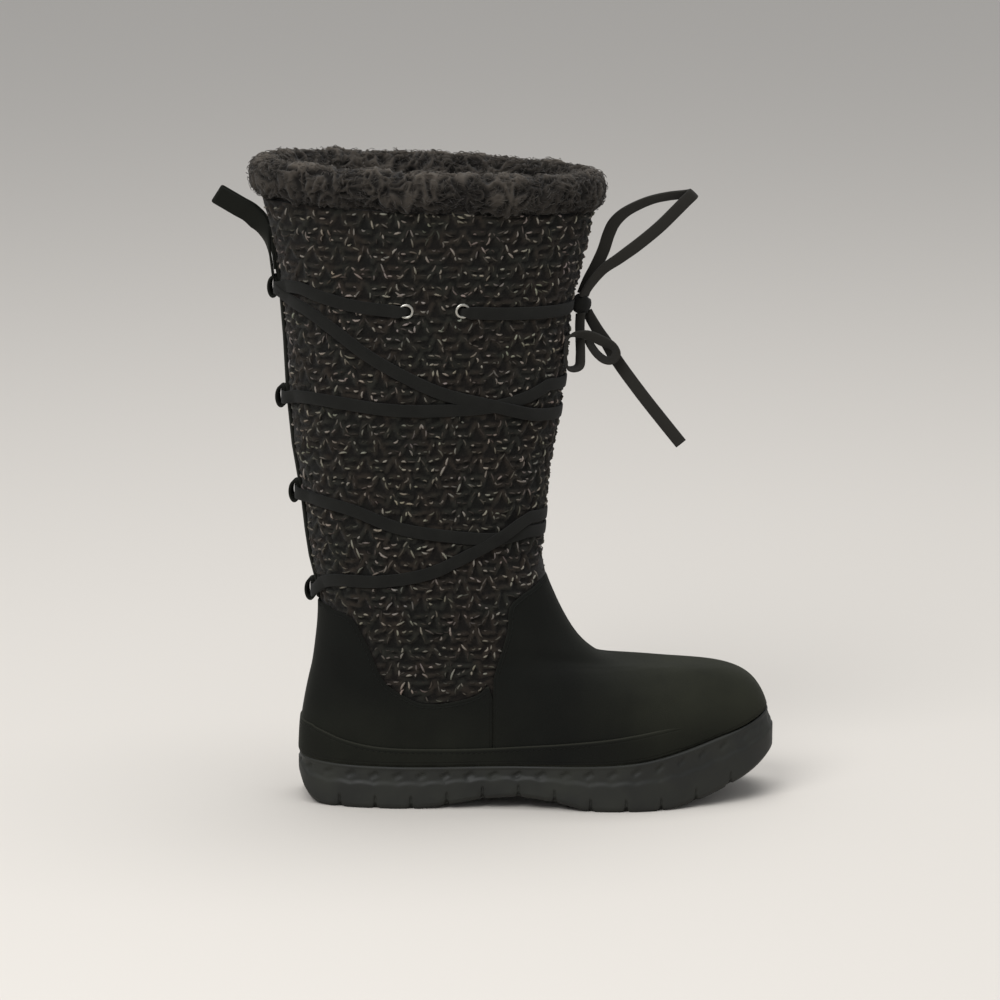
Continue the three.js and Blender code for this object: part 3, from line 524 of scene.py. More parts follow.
def surface_place(x, z):
    """u and v on the outer side where the side view shows x and z."""
    x, z = np.asarray(x, float), np.asarray(z, float)
    low, high = np.zeros_like(x), np.ones_like(x)
    for _ in range(40):
        mid = (low + high) / 2
        s = section_at(mid)
        at = s["back_z"] + (s["front_z"] - s["back_z"]) * (x - s["back_x"]) / (s["front_x"] - s["back_x"])
        low, high = np.where(at < z, mid, low), np.where(at < z, high, mid)
    s = section_at(low)
    share = (x - s["back_x"]) / (s["front_x"] - s["back_x"])
    start, end = np.zeros_like(x), np.full_like(x, 0.5)
    for _ in range(40):
        mid = (start + end) / 2
        less = along_section(s, mid)[0] < share
        start, end = np.where(less, mid, start), np.where(less, end, mid)
    return start, low


print("rim, mm:", bare(np.array([0, 0.5]), 1.0).round(1).tolist())

# %% [markdown]
# ## How the lace is wound
#
# From four small loops on the back strap the lace crosses each side and meets itself at the front. The
# courses are read from the side view. They are needed before the knit, because a tight lace presses the
# soft knit down where it lies.

# %% Courses of the lace
LACE_LIFT = 1.6
STRAP_WIDTH = 12.0
LOOP_GAP = 3.9
LOOP_SEAT = 0.8
LOOP_HEIGHT = 9.8
LOOP_ROWS = [0.349, 0.513, 0.671, 0.852]
COURSES = {
    "steep": [(-0.18, 0.826), (-0.1, 0.797), (0, 0.757), (0.113, 0.722), (0.227, 0.694), (0.37, 0.673),
              (0.486, 0.655), (0.54, 0.65)],
    "flat": [(-0.17, 0.68), (-0.087, 0.677), (0.083, 0.667), (0.256, 0.667), (0.378, 0.671), (0.48, 0.684),
             (0.54, 0.7)],
    "top": [(-0.2, 0.86), (-0.141, 0.85), (-0.046, 0.838), (0.08, 0.83)],
    "front": [(0.318, 0.827), (0.4, 0.824), (0.5, 0.822), (0.58, 0.821), (0.611, 0.822), (0.6148, 0.8225)],
    "low_steep": [(-0.13, 0.508), (-0.035, 0.497), (0.1, 0.47), (0.24, 0.457), (0.38, 0.449), (0.48, 0.456)],
    "low_flat": [(-0.1, 0.376), (0.032, 0.38), (0.17, 0.392), (0.273, 0.415), (0.343, 0.434), (0.445, 0.468),
                 (0.49, 0.48)],
}
BACK_LINE = bare(0.0, PLACES)


def back_at(z):
    """x of the back of the last at a height."""
    return np.interp(z, BACK_LINE[:, 2], BACK_LINE[:, 0])


def slot_place(share):
    """x and z of the middle of a lace loop's slot."""
    z = share * RIM_HEIGHT
    return back_at(z) - GAP - SUEDE - LOOP_SEAT - LOOP_GAP / 2, z


def course_line(name, loop, us, lift):
    """Centre line and face direction of one course at the given u on both sides."""
    table = np.array(COURSES[name]) * [LEG_DEPTH, RIM_HEIGHT]
    u, v = surface_place(table[:, 0], table[:, 1])
    slot = None if loop is None else slot_place(LOOP_ROWS[loop])
    if slot:
        _, back_v = surface_place(back_at(slot[1]) + 0.01, slot[1])
        u, v = np.concatenate([[0], u]), np.concatenate([[back_v], v])
    side = np.where(us % 1 <= 0.5, us % 1, 1 - us % 1)
    height = smooth_table(u, v, side)
    points, normals = on_last(us, height, lift), outward(us, height)
    if slot:
        near = STRAP_WIDTH / 2 + 1.5
        reach = (1 - smooth_step(near, near * 2.4, np.abs(points[:, 1]))) * (side < 0.25)
        points[:, 0] += (slot[0] - points[:, 0]) * reach
        points[:, 2] += (slot[1] - points[:, 2]) * reach
        normals = unit(normals + (np.array([-1.0, 0, 0]) - normals) * reach[:, None])
    return points, normals


LACE_STEPS = 300
whole_turn = np.arange(LACE_STEPS) / LACE_STEPS
print("courses:", ", ".join(COURSES))

# %% [markdown]
# ## The knit
#
# The shaft is knitted from a thick marled yarn: dark brown and black plies with a thin pale one. From a
# step away it reads as rows of stitches, each a pair of legs that lean together, with short bars between.
# A bump map would look flat at the boot's outline, so the stitches are real relief in a fine mesh, laid
# out in millimetres over the shaft. The pale ply is a second piece of thin strands on top of the stitches.

# %% Layout of the stitches
STITCH_WIDTH = 15.5
STITCH_ROW = 9.9
PLY_HEIGHT = 1.7
MIDDLE_X = 30.0                            # the layout starts on this line, on each side
# Strokes of one stitch: across, up, lean in degrees, length and half width.
STROKES = np.array([
    [-2.3, 0.1, 66, 8.2, 1.5],
    [2.3, 0.1, 114, 8.2, 1.5],
    [7.75, 2.5, 2, 7.2, 1.35],
    [7.75, -2.3, -2, 7.2, 1.35],
])
KNIT_ROWS, KNIT_COLUMNS = 250, 340
KNIT_LOW = 0.09
TABLE = 64
SIDE_SHIFT = 31                            # the inner side's stitches start this many columns further on
jitter = RNG.normal(0, 1, (TABLE, TABLE, len(STROKES), 4))

turns = even_turns(KNIT_COLUMNS, 0.75)
side_line = bare(0.25, np.linspace(KNIT_LOW, 1, 400))
side_run = np.concatenate([[0], np.cumsum(np.linalg.norm(np.diff(side_line, axis=0), axis=1))])
heights = np.interp(np.linspace(0, side_run[-1], KNIT_ROWS), side_run, np.linspace(KNIT_LOW, 1, 400))
knit_u, knit_v = np.meshgrid(turns, heights)
knit_points = bare(knit_u, knit_v)
knit_normals = outward(knit_u, knit_v)


def layout_run(points, u):
    """Distance across from the middle line of its own side, for every point of a grid."""
    run = np.zeros(points.shape[:2])
    for side in (u[0] <= 0.5, u[0] > 0.5):
        cut = points[:, side]
        steps = np.linalg.norm(np.diff(cut[:, :, :2], axis=1), axis=2)
        along = np.concatenate([np.zeros((len(cut), 1)), np.cumsum(steps, axis=1)], axis=1)
        start = along[np.arange(len(cut)), np.abs(cut[:, :, 0] - MIDDLE_X).argmin(axis=1)]
        offset = cut[np.arange(len(cut)), np.abs(cut[:, :, 0] - MIDDLE_X).argmin(axis=1), 0] - MIDDLE_X
        sign = 1 if u[0][side][0] <= 0.25 else -1
        run[:, side] = (along - start[:, None]) * sign + offset[:, None]
    return run


across = layout_run(knit_points, knit_u)
up = knit_points[:, :, 2]
inner_side = knit_u > 0.5


def stitch_strokes(row, column):
    """Middle, direction, half length and half width of each stroke of the stitches in row and column."""
    shake = jitter[row % TABLE, column % TABLE]
    middle_a = column[..., None] * STITCH_WIDTH + (row % 2)[..., None] * STITCH_WIDTH / 2 + STROKES[:, 0]
    middle_b = row[..., None] * STITCH_ROW + STROKES[:, 1]
    lean = np.radians(STROKES[:, 2] + 8 * shake[..., 2])
    half = STROKES[:, 3] / 2 * (1 + 0.1 * shake[..., 3])
    return (middle_a + 0.5 * shake[..., 0], middle_b + 0.4 * shake[..., 1],
            np.cos(lean), np.sin(lean), half, STROKES[:, 4] + np.zeros_like(half))


def ply_relief(a, b, far):
    """Height of the plies, 0 to 1, at places a across and b up; far picks the inner side's stitches."""
    row = np.floor(b / STITCH_ROW + 0.5).astype(int)
    best = np.zeros_like(a)
    for dr in (-1, 0, 1):
        r = row + dr
        column = np.floor((a - (r % 2) * STITCH_WIDTH / 2) / STITCH_WIDTH + 0.5).astype(int)
        for dc in (-1, 0, 1):
            c = column + dc + far * SIDE_SHIFT
            ma, mb, ca, sa, half, wide = stitch_strokes(r, c)
            shift = (far * SIDE_SHIFT * STITCH_WIDTH)[..., None]
            da, db = a[..., None] - (ma - shift), b[..., None] - mb
            along = np.clip(da * ca + db * sa, -half, half)
            off = np.hypot(da - along * ca, db - along * sa) / wide
            crown = np.sqrt(np.clip(1 - off ** 2, 0, 1)) * (1 - 0.25 * (along / half) ** 2)
            best = np.maximum(best, crown.max(axis=-1))
    return best


relief = ply_relief(across, up, inner_side.astype(int))
SLUB = 2.6                                 # millimetres between the thick and thin places of the yarn
slubs = np.array([noise.fractal(Vector(p) / SLUB, 0.7, 2.0, 2) for p in knit_points.reshape(-1, 3)])
slubs = slubs.reshape(relief.shape)
relief = np.clip(relief * (0.9 + 0.35 * slubs) + 0.12 * slubs, -0.1, 1.1)
print("knit grid", relief.shape, "mean relief", round(float(relief.mean()), 2))

# %% [markdown]
# ## Where the suede lies
#
# Vamp, heel counter and rand are cut from flat suede along smooth curves. Their outlines are written in
# the side view, in shares of foot length and instep height. The distance to an outline tells both where
# the suede stops and where the knit below it has to lie flat.

# %% Outlines of the suede
COUNTER_EDGE = [(-0.3, 1.5), (-0.1, 1.48), (-0.07, 1.45), (-0.03, 1.4), (0.003, 1.2), (0.036, 0.95),
                (0.09, 0.82), (0.13, 0.78), (0.19, 0.8), (0.236, 0.85), (0.258, 0.92)]
VAMP_EDGE = [(0.2688, 0.96), (0.283, 1.13), (0.298, 1.32), (0.302, 1.48), (0.325, 1.56), (0.362, 1.63),
             (0.4, 1.74), (0.46, 1.86), (0.6, 1.9)]
RAND_EDGE = [(-0.3, 0.66), (-0.13, 0.6), (-0.1, 0.57), (-0.04, 0.5), (0.03, 0.46), (0.12, 0.45),
             (0.25, 0.455), (0.38, 0.49), (0.5, 0.54), (0.6, 0.59), (0.68, 0.62), (0.745, 0.6)]
SOLE_LENGTH = 271.0
SOLE_WIDTH = 99.0
HEEL_BACK = 38.3
SOLE_HEIGHT = 26.0
TOE_LIFT = 24.0
ARCH_LIFT = 7.0
SOLE_TOP = np.array([(0, 1.04), (0.03, 0.99), (0.1, 0.95), (0.25, 0.93), (0.42, 0.96), (0.62, 1.02),
                     (0.72, 1.1), (0.8, 1.26), (0.88, 1.5), (0.94, 1.72), (1, 2.02)])


def sole_share(x):
    """Share of the sole's length at x."""
    return (np.asarray(x, float) + HEEL_BACK) / SOLE_LENGTH


def sole_top_z(share):
    """Top edge of the sole's side."""
    return smooth_table(SOLE_TOP[:, 0], SOLE_TOP[:, 1], share) * SOLE_HEIGHT


def smooth_edge(edge, steps=9):
    """An outline in millimetres with soft curves through its points."""
    table = np.array(edge) * [FOOT_LENGTH, INSTEP_HEIGHT]
    run = np.arange(len(table))
    fine = np.linspace(0, len(table) - 1, (len(table) - 1) * steps + 1)
    return np.stack([smooth_table(run, table[:, i], fine) for i in range(2)], -1)


def sole_line(x_from, x_to, count=40):
    """The lower edge of the suede, just above the sole."""
    x = np.linspace(x_from, x_to, count)
    return np.stack([x, sole_top_z(sole_share(x)) + GAP], -1)


def inside_distance(outline, x, z):
    """Distance to a closed outline in the side view, positive inside."""
    flat = np.stack([np.ravel(x), np.ravel(z)], -1)
    nearest = np.full(len(flat), 1e9)
    inside = np.zeros(len(flat), bool)
    for (ax, az), (bx, bz) in zip(outline, np.roll(outline, -1, 0)):
        edge = np.array([bx - ax, bz - az])
        if not edge.any():
            continue
        t = np.clip(((flat[:, 0] - ax) * edge[0] + (flat[:, 1] - az) * edge[1]) / (edge @ edge), 0, 1)
        nearest = np.minimum(nearest, np.hypot(flat[:, 0] - ax - t * edge[0], flat[:, 1] - az - t * edge[1]))
        if az != bz:
            crossing = (flat[:, 1] > min(az, bz)) & (flat[:, 1] <= max(az, bz))
            inside ^= crossing & (flat[:, 0] < ax + (flat[:, 1] - az) * edge[0] / (bz - az))
    return np.where(inside, nearest, -nearest).reshape(np.shape(x))


HEEL_END, TOE_END = -60.0, 260.0
counter_top, vamp_top, rand_top = smooth_edge(COUNTER_EDGE), smooth_edge(VAMP_EDGE), smooth_edge(RAND_EDGE)
JOIN_X = 0.268 * FOOT_LENGTH
VAMP_X = 0.2688 * FOOT_LENGTH
counter_outline = np.vstack([counter_top, [(JOIN_X, 62)], sole_line(JOIN_X, HEEL_END)])
vamp_outline = np.vstack([vamp_top, [(TOE_END, 146)], sole_line(TOE_END, VAMP_X)])
rand_outline = np.vstack([rand_top, sole_line(rand_top[-1, 0] + 6, HEEL_END)])
for name, outline in (("counter", counter_outline), ("vamp", vamp_outline), ("rand", rand_outline)):
    print(name, "outline of", len(outline), "points")

# %% Press the knit flat
covered = np.maximum(
    inside_distance(counter_outline, knit_points[..., 0], knit_points[..., 2]),
    inside_distance(vamp_outline, knit_points[..., 0], knit_points[..., 2]))
covered = np.where(knit_points[..., 2] < 60, np.maximum(covered, 3), covered)
free = 1 - smooth_step(-1.8, 0.2, covered)

lace_points = []
for name, loop, reach in (("steep", 3, 1), ("flat", 2, 1), ("top", 3, 0.13), ("low_steep", 1, 1),
                          ("low_flat", 0, 1)):
    us = whole_turn if reach == 1 else np.linspace(-reach, reach, 90) % 1
    lace_points.append(course_line(name, loop, us, np.full(len(us), 0.0))[0])
front_us = np.linspace(0.28, 0.72, 130)
lace_points.append(course_line("front", None, front_us, np.zeros(len(front_us)))[0])
lace_points = np.vstack(lace_points)
lace_tree = kdtree.KDTree(len(lace_points))
for i, p in enumerate(lace_points):
    lace_tree.insert(p, i)
lace_tree.balance()
lace_gap = np.array([lace_tree.find(p)[2] for p in knit_points.reshape(-1, 3)]).reshape(relief.shape)
pressed = smooth_step(LACE_WIDTH / 2 - 0.6, LACE_WIDTH / 2 + 1.6, lace_gap)
ahead_of_back = np.maximum(knit_points[..., 0] - back_at(knit_points[..., 2]) - 0.5, 0)
from_back = np.hypot(knit_points[..., 1], ahead_of_back * 3)
pressed *= smooth_step(STRAP_WIDTH / 2 - 0.5, STRAP_WIDTH / 2 + 4.5, from_back)
print("points under the lace and the strap:", int((pressed < 0.5).sum()))

# %% Eyelet dimples
EYELET_RADIUS = 4.5
EYELET_HOLE = 2.7
EYELETS = {"rear": (0.115, 0.83), "front": (0.283, 0.83)}
dimple = np.zeros_like(relief)
eyelet_places = {}
for name, (x, z) in EYELETS.items():
    u, v = surface_place(x * LEG_DEPTH, z * RIM_HEIGHT)
    for side, turn in (("outer", float(u)), ("inner", 1 - float(u))):
        centre = bare(turn, v)
        eyelet_places[f"eyelet_{name}_{side}"] = (turn, float(v))
        away = np.linalg.norm(knit_points - centre, axis=-1)
        dimple = np.maximum(dimple, 1 - smooth_step(EYELET_HOLE - 0.6, EYELET_HOLE + 0.5, away))
        pressed *= smooth_step(EYELET_RADIUS - 0.5, EYELET_RADIUS + 1, away)
print("eyelets at", {k: (round(a, 3), round(b, 3)) for k, (a, b) in eyelet_places.items()})

# %% Wool of the knit
# Carded wool, spun thick and plied: matt, with a halo of loose fibre that catches light at the edges.
FIBRE = 0.45                               # millimetres, about ten real fibres wide
knit_wool, tree, shader, place = start_material(
    "marled_wool_knitted", {"Roughness": 0.95, "IOR": 1.45, "Specular IOR Level": 0.25, "Sheen Weight": 0.08,
                            "Sheen Roughness": 0.5})
dye_step = ramp(tree, grain(tree, place, 14, 2.0), 0.4, 0.6)
fibre = grain(tree, place, FIBRE, 3.0)
# The ply number paints the yarn darker in the gaps between the plies and lighter on their crowns: painted
# shade and painted light.
yarn_in_painted_shade = blend(tree, dye_step, "#0c0907", "#090907")
yarn_in_painted_light = blend(tree, dye_step, "#28221c", "#20201b")
yarn_painted_by_ply = blend(tree, number_on(tree, "ply"), yarn_in_painted_shade, yarn_in_painted_light)
hair = ramp(tree, fibre, 0.55, 0.75, 0.0, 0.4)
tree.links.new(blend(tree, hair, yarn_painted_by_ply, "#3a342c"), shader.inputs["Base Color"])
tree.links.new(raised(tree, fibre, 0.9, 0.4), shader.inputs["Normal"])

# %% Knit shell
LINING_THICKNESS = 1.6
BACK_ROWS = 16
knit_lift = (relief - 0.1) * PLY_HEIGHT * free * (0.2 + 0.8 * pressed) - 1.8 * dimple - 0.25 * (1 - free)
outer_skin = knit_points + knit_normals * knit_lift[..., None]
back_v = np.linspace(1, KNIT_LOW, BACK_ROWS)
back_u, back_v = np.meshgrid(turns, back_v)
back_skin = on_last(back_u, back_v, np.full(back_u.shape, LINING_THICKNESS - WALL))
shell = np.concatenate([outer_skin, back_skin])
# The ply height also sets the painted shade and painted light in the knit's colour.
ply_values = np.concatenate([relief * free, np.zeros(back_u.shape)])
make_piece("knit_shaft", shell, grid_faces(len(shell), KNIT_COLUMNS, True, True), knit_wool,
           ["upper"], values={"ply": ply_values})


# %% [markdown]
# ## The pale strands
#
# The pale ply shows only where it comes to the surface, so it is drawn as short strands: some on the legs,
# some on the bars, some missing. Thousands of thin tubes are cheap when they are made as one mesh from
# arrays. Each strand carries its own number, from dull to bright, which the material reads.

# %% Tubes from arrays
def tubes(paths, radius, facing, sides=5, taper=0.55):
    """Many tubes at once: paths is strands by points by 3, radius and facing one for each strand."""
    count, length = paths.shape[:2]
    along = unit(np.gradient(paths, axis=1))
    across = unit(np.cross(along, facing[:, None]))
    up = np.cross(across, along)
    thin = 1 - (1 - taper) * np.abs(np.linspace(-1, 1, length)) ** 3
    angle = np.arange(sides) / sides * 2 * np.pi
    ring = across[:, :, None] * np.cos(angle)[:, None] + up[:, :, None] * np.sin(angle)[:, None]
    points = paths[:, :, None] + ring * (radius[:, None] * thin)[:, :, None, None]
    faces = grid_faces(length, sides, close_columns=True)
    faces = (faces[None] + np.arange(count)[:, None, None] * length * sides).reshape(-1, 4).tolist()
    first = np.arange(sides)[::-1][None] + np.arange(count)[:, None] * length * sides
    faces += first.tolist()
    faces += (np.arange(sides)[None] + (np.arange(count)[:, None] + 1) * length * sides - sides).tolist()
    return points.reshape(-1, 3), faces


# %% Lay the strands
STRAND_RADIUS = 0.46
STRAND_SHARE = 0.9                        # how many places of a stroke show their pale ply
STRAND_POINTS, STRAND_SIDES = 4, 4
STRAND_PLACES = (-0.55, 0.5)               # on each stroke, in half lengths from its middle
STRAND_SHAKE = 0.45                        # how far a strand may lie off its place
FIRST_ROW, SIDE_COLUMNS = 5, 12            # lowest row, and columns to each side of the middle line
SIDES_APART = 1000.0                       # keeps the two sides apart in the tree
layout_tree = kdtree.KDTree(across.size)
for i, (a, b, far) in enumerate(zip(across.ravel(), up.ravel(), inner_side.ravel())):
    layout_tree.insert((a, b, SIDES_APART * far), i)
layout_tree.balance()
flat_points, flat_normals = knit_points.reshape(-1, 3), knit_normals.reshape(-1, 3)
flat_free, flat_pressed, flat_relief = free.ravel(), pressed.ravel(), relief.ravel()


def lay_strands(far):
    """Paths, facing directions and tones of the pale strands on one side of the shaft."""
    starts, rights, ups, outs, sizes, tones, bends = [], [], [], [], [], [], []
    shift = far * SIDE_SHIFT * STITCH_WIDTH
    for row in range(FIRST_ROW, int(RIM_HEIGHT / STITCH_ROW) + 1):
        for column in range(-SIDE_COLUMNS, SIDE_COLUMNS + 1):
            ma, mb, ca, sa, half, _ = stitch_strokes(np.array(row), np.array(column + far * SIDE_SHIFT))
            for k in range(len(STROKES)):
                for place in STRAND_PLACES:
                    pick = RNG.random(3)
                    shake = RNG.normal(0, 1, 4)
                    if pick[0] > STRAND_SHARE:
                        continue
                    a = ma[k] - shift + ca[k] * place * half[k] + STRAND_SHAKE * shake[0]
                    b = mb[k] + sa[k] * place * half[k] + STRAND_SHAKE * shake[1]
                    _, index, off = layout_tree.find((a, b, SIDES_APART * far))
                    if off > 1.4 or flat_free[index] < 0.6 or flat_pressed[index] < 0.7:
                        continue
                    out = flat_normals[index]
                    right = unit(np.array([-out[1], out[0], 0]))
                    right = right if right[0] > 0 else -right
                    rise = np.cross(out, right)
                    rise = rise if rise[2] > 0 else -rise
                    lean = math.atan2(sa[k], ca[k]) + 0.26 * shake[2]
                    lift = PLY_HEIGHT * (0.35 + 0.62 * flat_relief[index])
                    starts.append(flat_points[index] + out * lift)
                    rights.append(right * math.cos(lean) + rise * math.sin(lean))
                    ups.append(rise * math.cos(lean) - right * math.sin(lean))
                    outs.append(out)
                    sizes.append(half[k] * (0.4 + 0.14 * shake[3]))
                    tones.append(pick[1] ** 1.7)
                    bends.append(pick[2] - 0.5)
    starts, rights, ups, outs = (np.array(x) for x in (starts, rights, ups, outs))
    sizes, tones, bends = np.clip(sizes, 0.8, 3.2), np.array(tones), np.array(bends)
    run = np.linspace(-1, 1, STRAND_POINTS)
    paths = (starts[:, None] + rights[:, None] * (run[None] * sizes[:, None])[..., None]
             + ups[:, None] * (bends[:, None] * 1.1 * run[None] ** 2)[..., None]
             - outs[:, None] * (0.7 * run[None] ** 4)[..., None])
    return paths, outs, tones


# %% Wool of the pale strands
# The same wool, undyed and twisted finer, so it is brighter but as matt as the rest.
pale_wool, tree, shader, place = start_material(
    "undyed_wool_ply", {"Roughness": 0.9, "IOR": 1.45, "Specular IOR Level": 0.3})
patch = add_node(tree, "TexNoise", {"Vector": place, "Scale": 1 / (16 * MM), "Detail": 1.0}).outputs["Color"]
dull = blend(tree, number_on(tree, "tone"), "#28241f", "#7f796f")
cast = add_node(tree, "Mix", {0: 0.2, 6: dull, 7: patch}, data_type="RGBA", blend_type="OVERLAY").outputs[2]
tree.links.new(cast, shader.inputs["Base Color"])
tree.links.new(raised(tree, grain(tree, place, 0.5, 2.0), 0.5, 0.2), shader.inputs["Normal"])
for far, side in ((0, "outer"), (1, "inner")):
    paths, outs, tones = lay_strands(far)
    points, faces = tubes(paths, STRAND_RADIUS * (0.85 + 0.5 * tones), outs, STRAND_SIDES)
    make_piece(f"knit_pale_strands_{side}", points, faces, pale_wool,
               values={"tone": np.repeat(tones, STRAND_POINTS * STRAND_SIDES)})

# %% [markdown]
# ## The suede pieces
#
# Each suede piece is the last's own surface, cut along its outline. The mesh keeps the squares inside the
# outline and slides the points on the border exactly onto it, which gives a clean curved edge without
# cutting faces. A second skin below and a wall between them make it real leather thickness.

# %% Black suede
# Split cowhide, dyed through and brushed: black, with a short nap that lightens where it was rubbed. The
# toe's upward-facing top is also painted lighter, as painted light from above.
suede, tree, shader, place = start_material(
    "split_suede_brushed", {"Roughness": 0.95, "IOR": 1.45, "Specular IOR Level": 0.2, "Sheen Weight": 0.07,
                            "Sheen Roughness": 0.45})
shader.inputs["Sheen Tint"].default_value = linear("#8d8d7c")
nap = grain(tree, place, NAP_SIZE, 5.0)
rub_and_light, inset = number_on(tree, "rub_and_light"), number_on(tree, "inset")
cloud_step = ramp(tree, grain(tree, place, 26, 4.0), 0.2, 0.85)
black = blend(tree, cloud_step, "#0b0c0a", "#121310")
# This number turns the black toward olive on the toe: partly rubbed nap, partly painted light on its
# upward-facing top.
worn_and_lit = add_node(tree, "Math", {0: rub_and_light, 1: cloud_step}, operation="MULTIPLY").outputs[0]
worn_and_lit = add_node(tree, "Math", {0: rub_and_light, 1: worn_and_lit}, operation="ADD").outputs[0]
worn_and_lit = add_node(tree, "Math", {0: worn_and_lit, 1: 0.5}, operation="MULTIPLY", use_clamp=True).outputs[0]
olive = blend(tree, worn_and_lit, black, "#27281f")
raw = ramp(tree, inset, 0.0, 0.9, 0.7, 0.0)
tree.links.new(blend(tree, raw, olive, "#33332b"), shader.inputs["Base Color"])
groove = ramp(tree, inset, 1.5, 2.1)
groove_back = ramp(tree, inset, 2.1, 2.8)
trough = add_node(tree, "Math", {0: groove_back, 1: groove}, operation="SUBTRACT").outputs[0]
seam = raised(tree, trough, 0.6, 0.5)
tree.links.new(raised(tree, nap, 0.55, 0.3, seam), shader.inputs["Normal"])


# %% Cut a skin from the last
EDGE_ROUND = 1.1                           # width of the rounded cut edge
RAND_SINK = 1.6                            # how far the fading end of the rand goes in
DEEP_INSIDE = 5.0                          # an inset past the seam, for faces without a cut edge


def cut_skin(name, outline, low, high, columns, rows, top_v, node, dents=None, edge_shade=0.0, fade=None):
    """A leather piece between two heights over the last, inside an outline of the side view.

    columns and rows are those of the grid that it is cut from, which goes up to top_v. dents is added to
    its height, edge_shade keeps its cut edge darker, and it sinks in between the two x values of fade.
    """
    turns = even_turns(columns, 0.12)
    u, v = np.meshgrid(turns, np.linspace(0.0, top_v, rows))
    points = bare(u, v)
    inset = inside_distance(outline, points[..., 0], points[..., 2])
    faces = grid_faces(rows, columns, close_columns=True)
    keep = inset.ravel()[faces].mean(axis=1) > 0
    used, unused = np.zeros(inset.size, bool), np.zeros(inset.size, bool)
    used[faces[keep].ravel()] = True
    unused[faces[~keep].ravel()] = True
    unused[:columns] = True
    border = used & unused
    bu, bv = u.ravel()[border].copy(), v.ravel()[border].copy()
    for _ in range(4):
        here = bare(bu, bv)
        value = inside_distance(outline, here[:, 0], here[:, 2])
        small = 0.0015
        at_u, at_v = bare(bu + small, bv), bare(bu, bv + small)
        slope_u = (inside_distance(outline, at_u[:, 0], at_u[:, 2]) - value) / small
        slope_v = (inside_distance(outline, at_v[:, 0], at_v[:, 2]) - value) / small
        size_u = ((at_u - here) ** 2).sum(1) / small ** 2
        size_v = ((at_v - here) ** 2).sum(1) / small ** 2
        pull_u, pull_v = slope_u / size_u, slope_v / size_v
        length = slope_u * pull_u + slope_v * pull_v
        move = np.where(length > 1e-3, value / np.maximum(length, 1e-3), 0)
        bu = bu - np.clip(move * pull_u, -0.008, 0.008)
        bv = np.clip(bv - np.clip(move * pull_v, -0.012, 0.012), 0, 1)
    u.ravel()[border], v.ravel()[border] = bu, bv
    points, normals = bare(u, v), outward(u, v)
    inset = np.maximum(inside_distance(outline, points[..., 0], points[..., 2]), 0)
    inset.ravel()[border] = 0
    edge = np.clip(inset / EDGE_ROUND, 0, 1)
    sunk = 0
    if fade is not None:                   # it sinks in toward the toe, and half as far at the heel
        x = points[..., 0]
        sunk = smooth_step(*fade, x) + 0.5 * smooth_step(-10, -36, x)
    base = low - RAND_SINK * sunk
    lift = base + (high - low) * (0.5 + 0.5 * np.sqrt(1 - (1 - edge) ** 2)) * (1 - 0.3 * sunk)
    if dents is not None:
        lift = lift + dents(points) * edge
    top = (points + normals * lift[..., None]).reshape(-1, 3)
    under = (points + normals * np.broadcast_to(base, inset.shape)[..., None]).reshape(-1, 3)
    index = np.cumsum(used) - 1
    kept = index[faces[keep]]
    count = int(used.sum())
    sides = np.concatenate([kept[:, [0, 1]], kept[:, [1, 2]], kept[:, [2, 3]], kept[:, [3, 0]]])
    back = {(b, a) for a, b in sides.tolist()}
    walls = [[b, a, a + count, b + count] for a, b in sides.tolist() if (a, b) not in back]
    all_faces = kept.tolist() + (kept[:, ::-1] + count).tolist() + walls
    everything = np.vstack([top[used], under[used]])
    rub_and_light = toe_rub_and_light(everything)
    inset_values = np.concatenate([inset.ravel()[used] + edge_shade, np.full(count, DEEP_INSIDE)])
    make_piece(name, everything, all_faces, suede, [node],
               values={"rub_and_light": rub_and_light, "inset": inset_values})


def toe_rub_and_light(points):
    """How much the nap is lightened: most on the toe and the top of the foot, as rubbed nap and painted light
    from above, some at the heel's foot.
    """
    toe = smooth_step(105, 190, points[:, 0]) * (0.55 + 0.45 * smooth_step(35, 60, points[:, 2]))
    low_heel = 0.35 * (1 - smooth_step(30, 80, points[:, 2])) * (1 - smooth_step(40, 110, points[:, 0]))
    return np.clip(toe + low_heel, 0, 1)


# %% Creases of the foot
# Soft troughs and ridges where the ankle bends: place in foot lengths and instep heights, direction in
# degrees, half length and half width in millimetres, and depth.
CREASES = [
    (0.46, 1.22, 128, 26, 5.0, -1.0), (0.43, 1.32, 126, 22, 4.0, 0.6), (0.52, 1.02, 150, 24, 6.0, -0.7),
    (0.62, 0.86, 168, 22, 6.0, 0.5), (-0.02, 1.12, 100, 18, 5.0, -0.5), (0.4, 0.95, 140, 20, 6.0, -0.5),
]


CREASE_SHARE = 0.6                         # how much of those depths is used


def foot_dents(points):
    """Height of the hand-placed creases at each point."""
    total = np.zeros(points.shape[:-1])
    for x, z, angle, half, wide, depth in CREASES:
        dx, dz = points[..., 0] - x * FOOT_LENGTH, points[..., 2] - z * INSTEP_HEIGHT
        ca, sa = math.cos(math.radians(angle)), math.sin(math.radians(angle))
        along, off = dx * ca + dz * sa, -dx * sa + dz * ca
        total += depth * np.exp(-(along / half) ** 2 - (off / wide) ** 2)
    return total * CREASE_SHARE


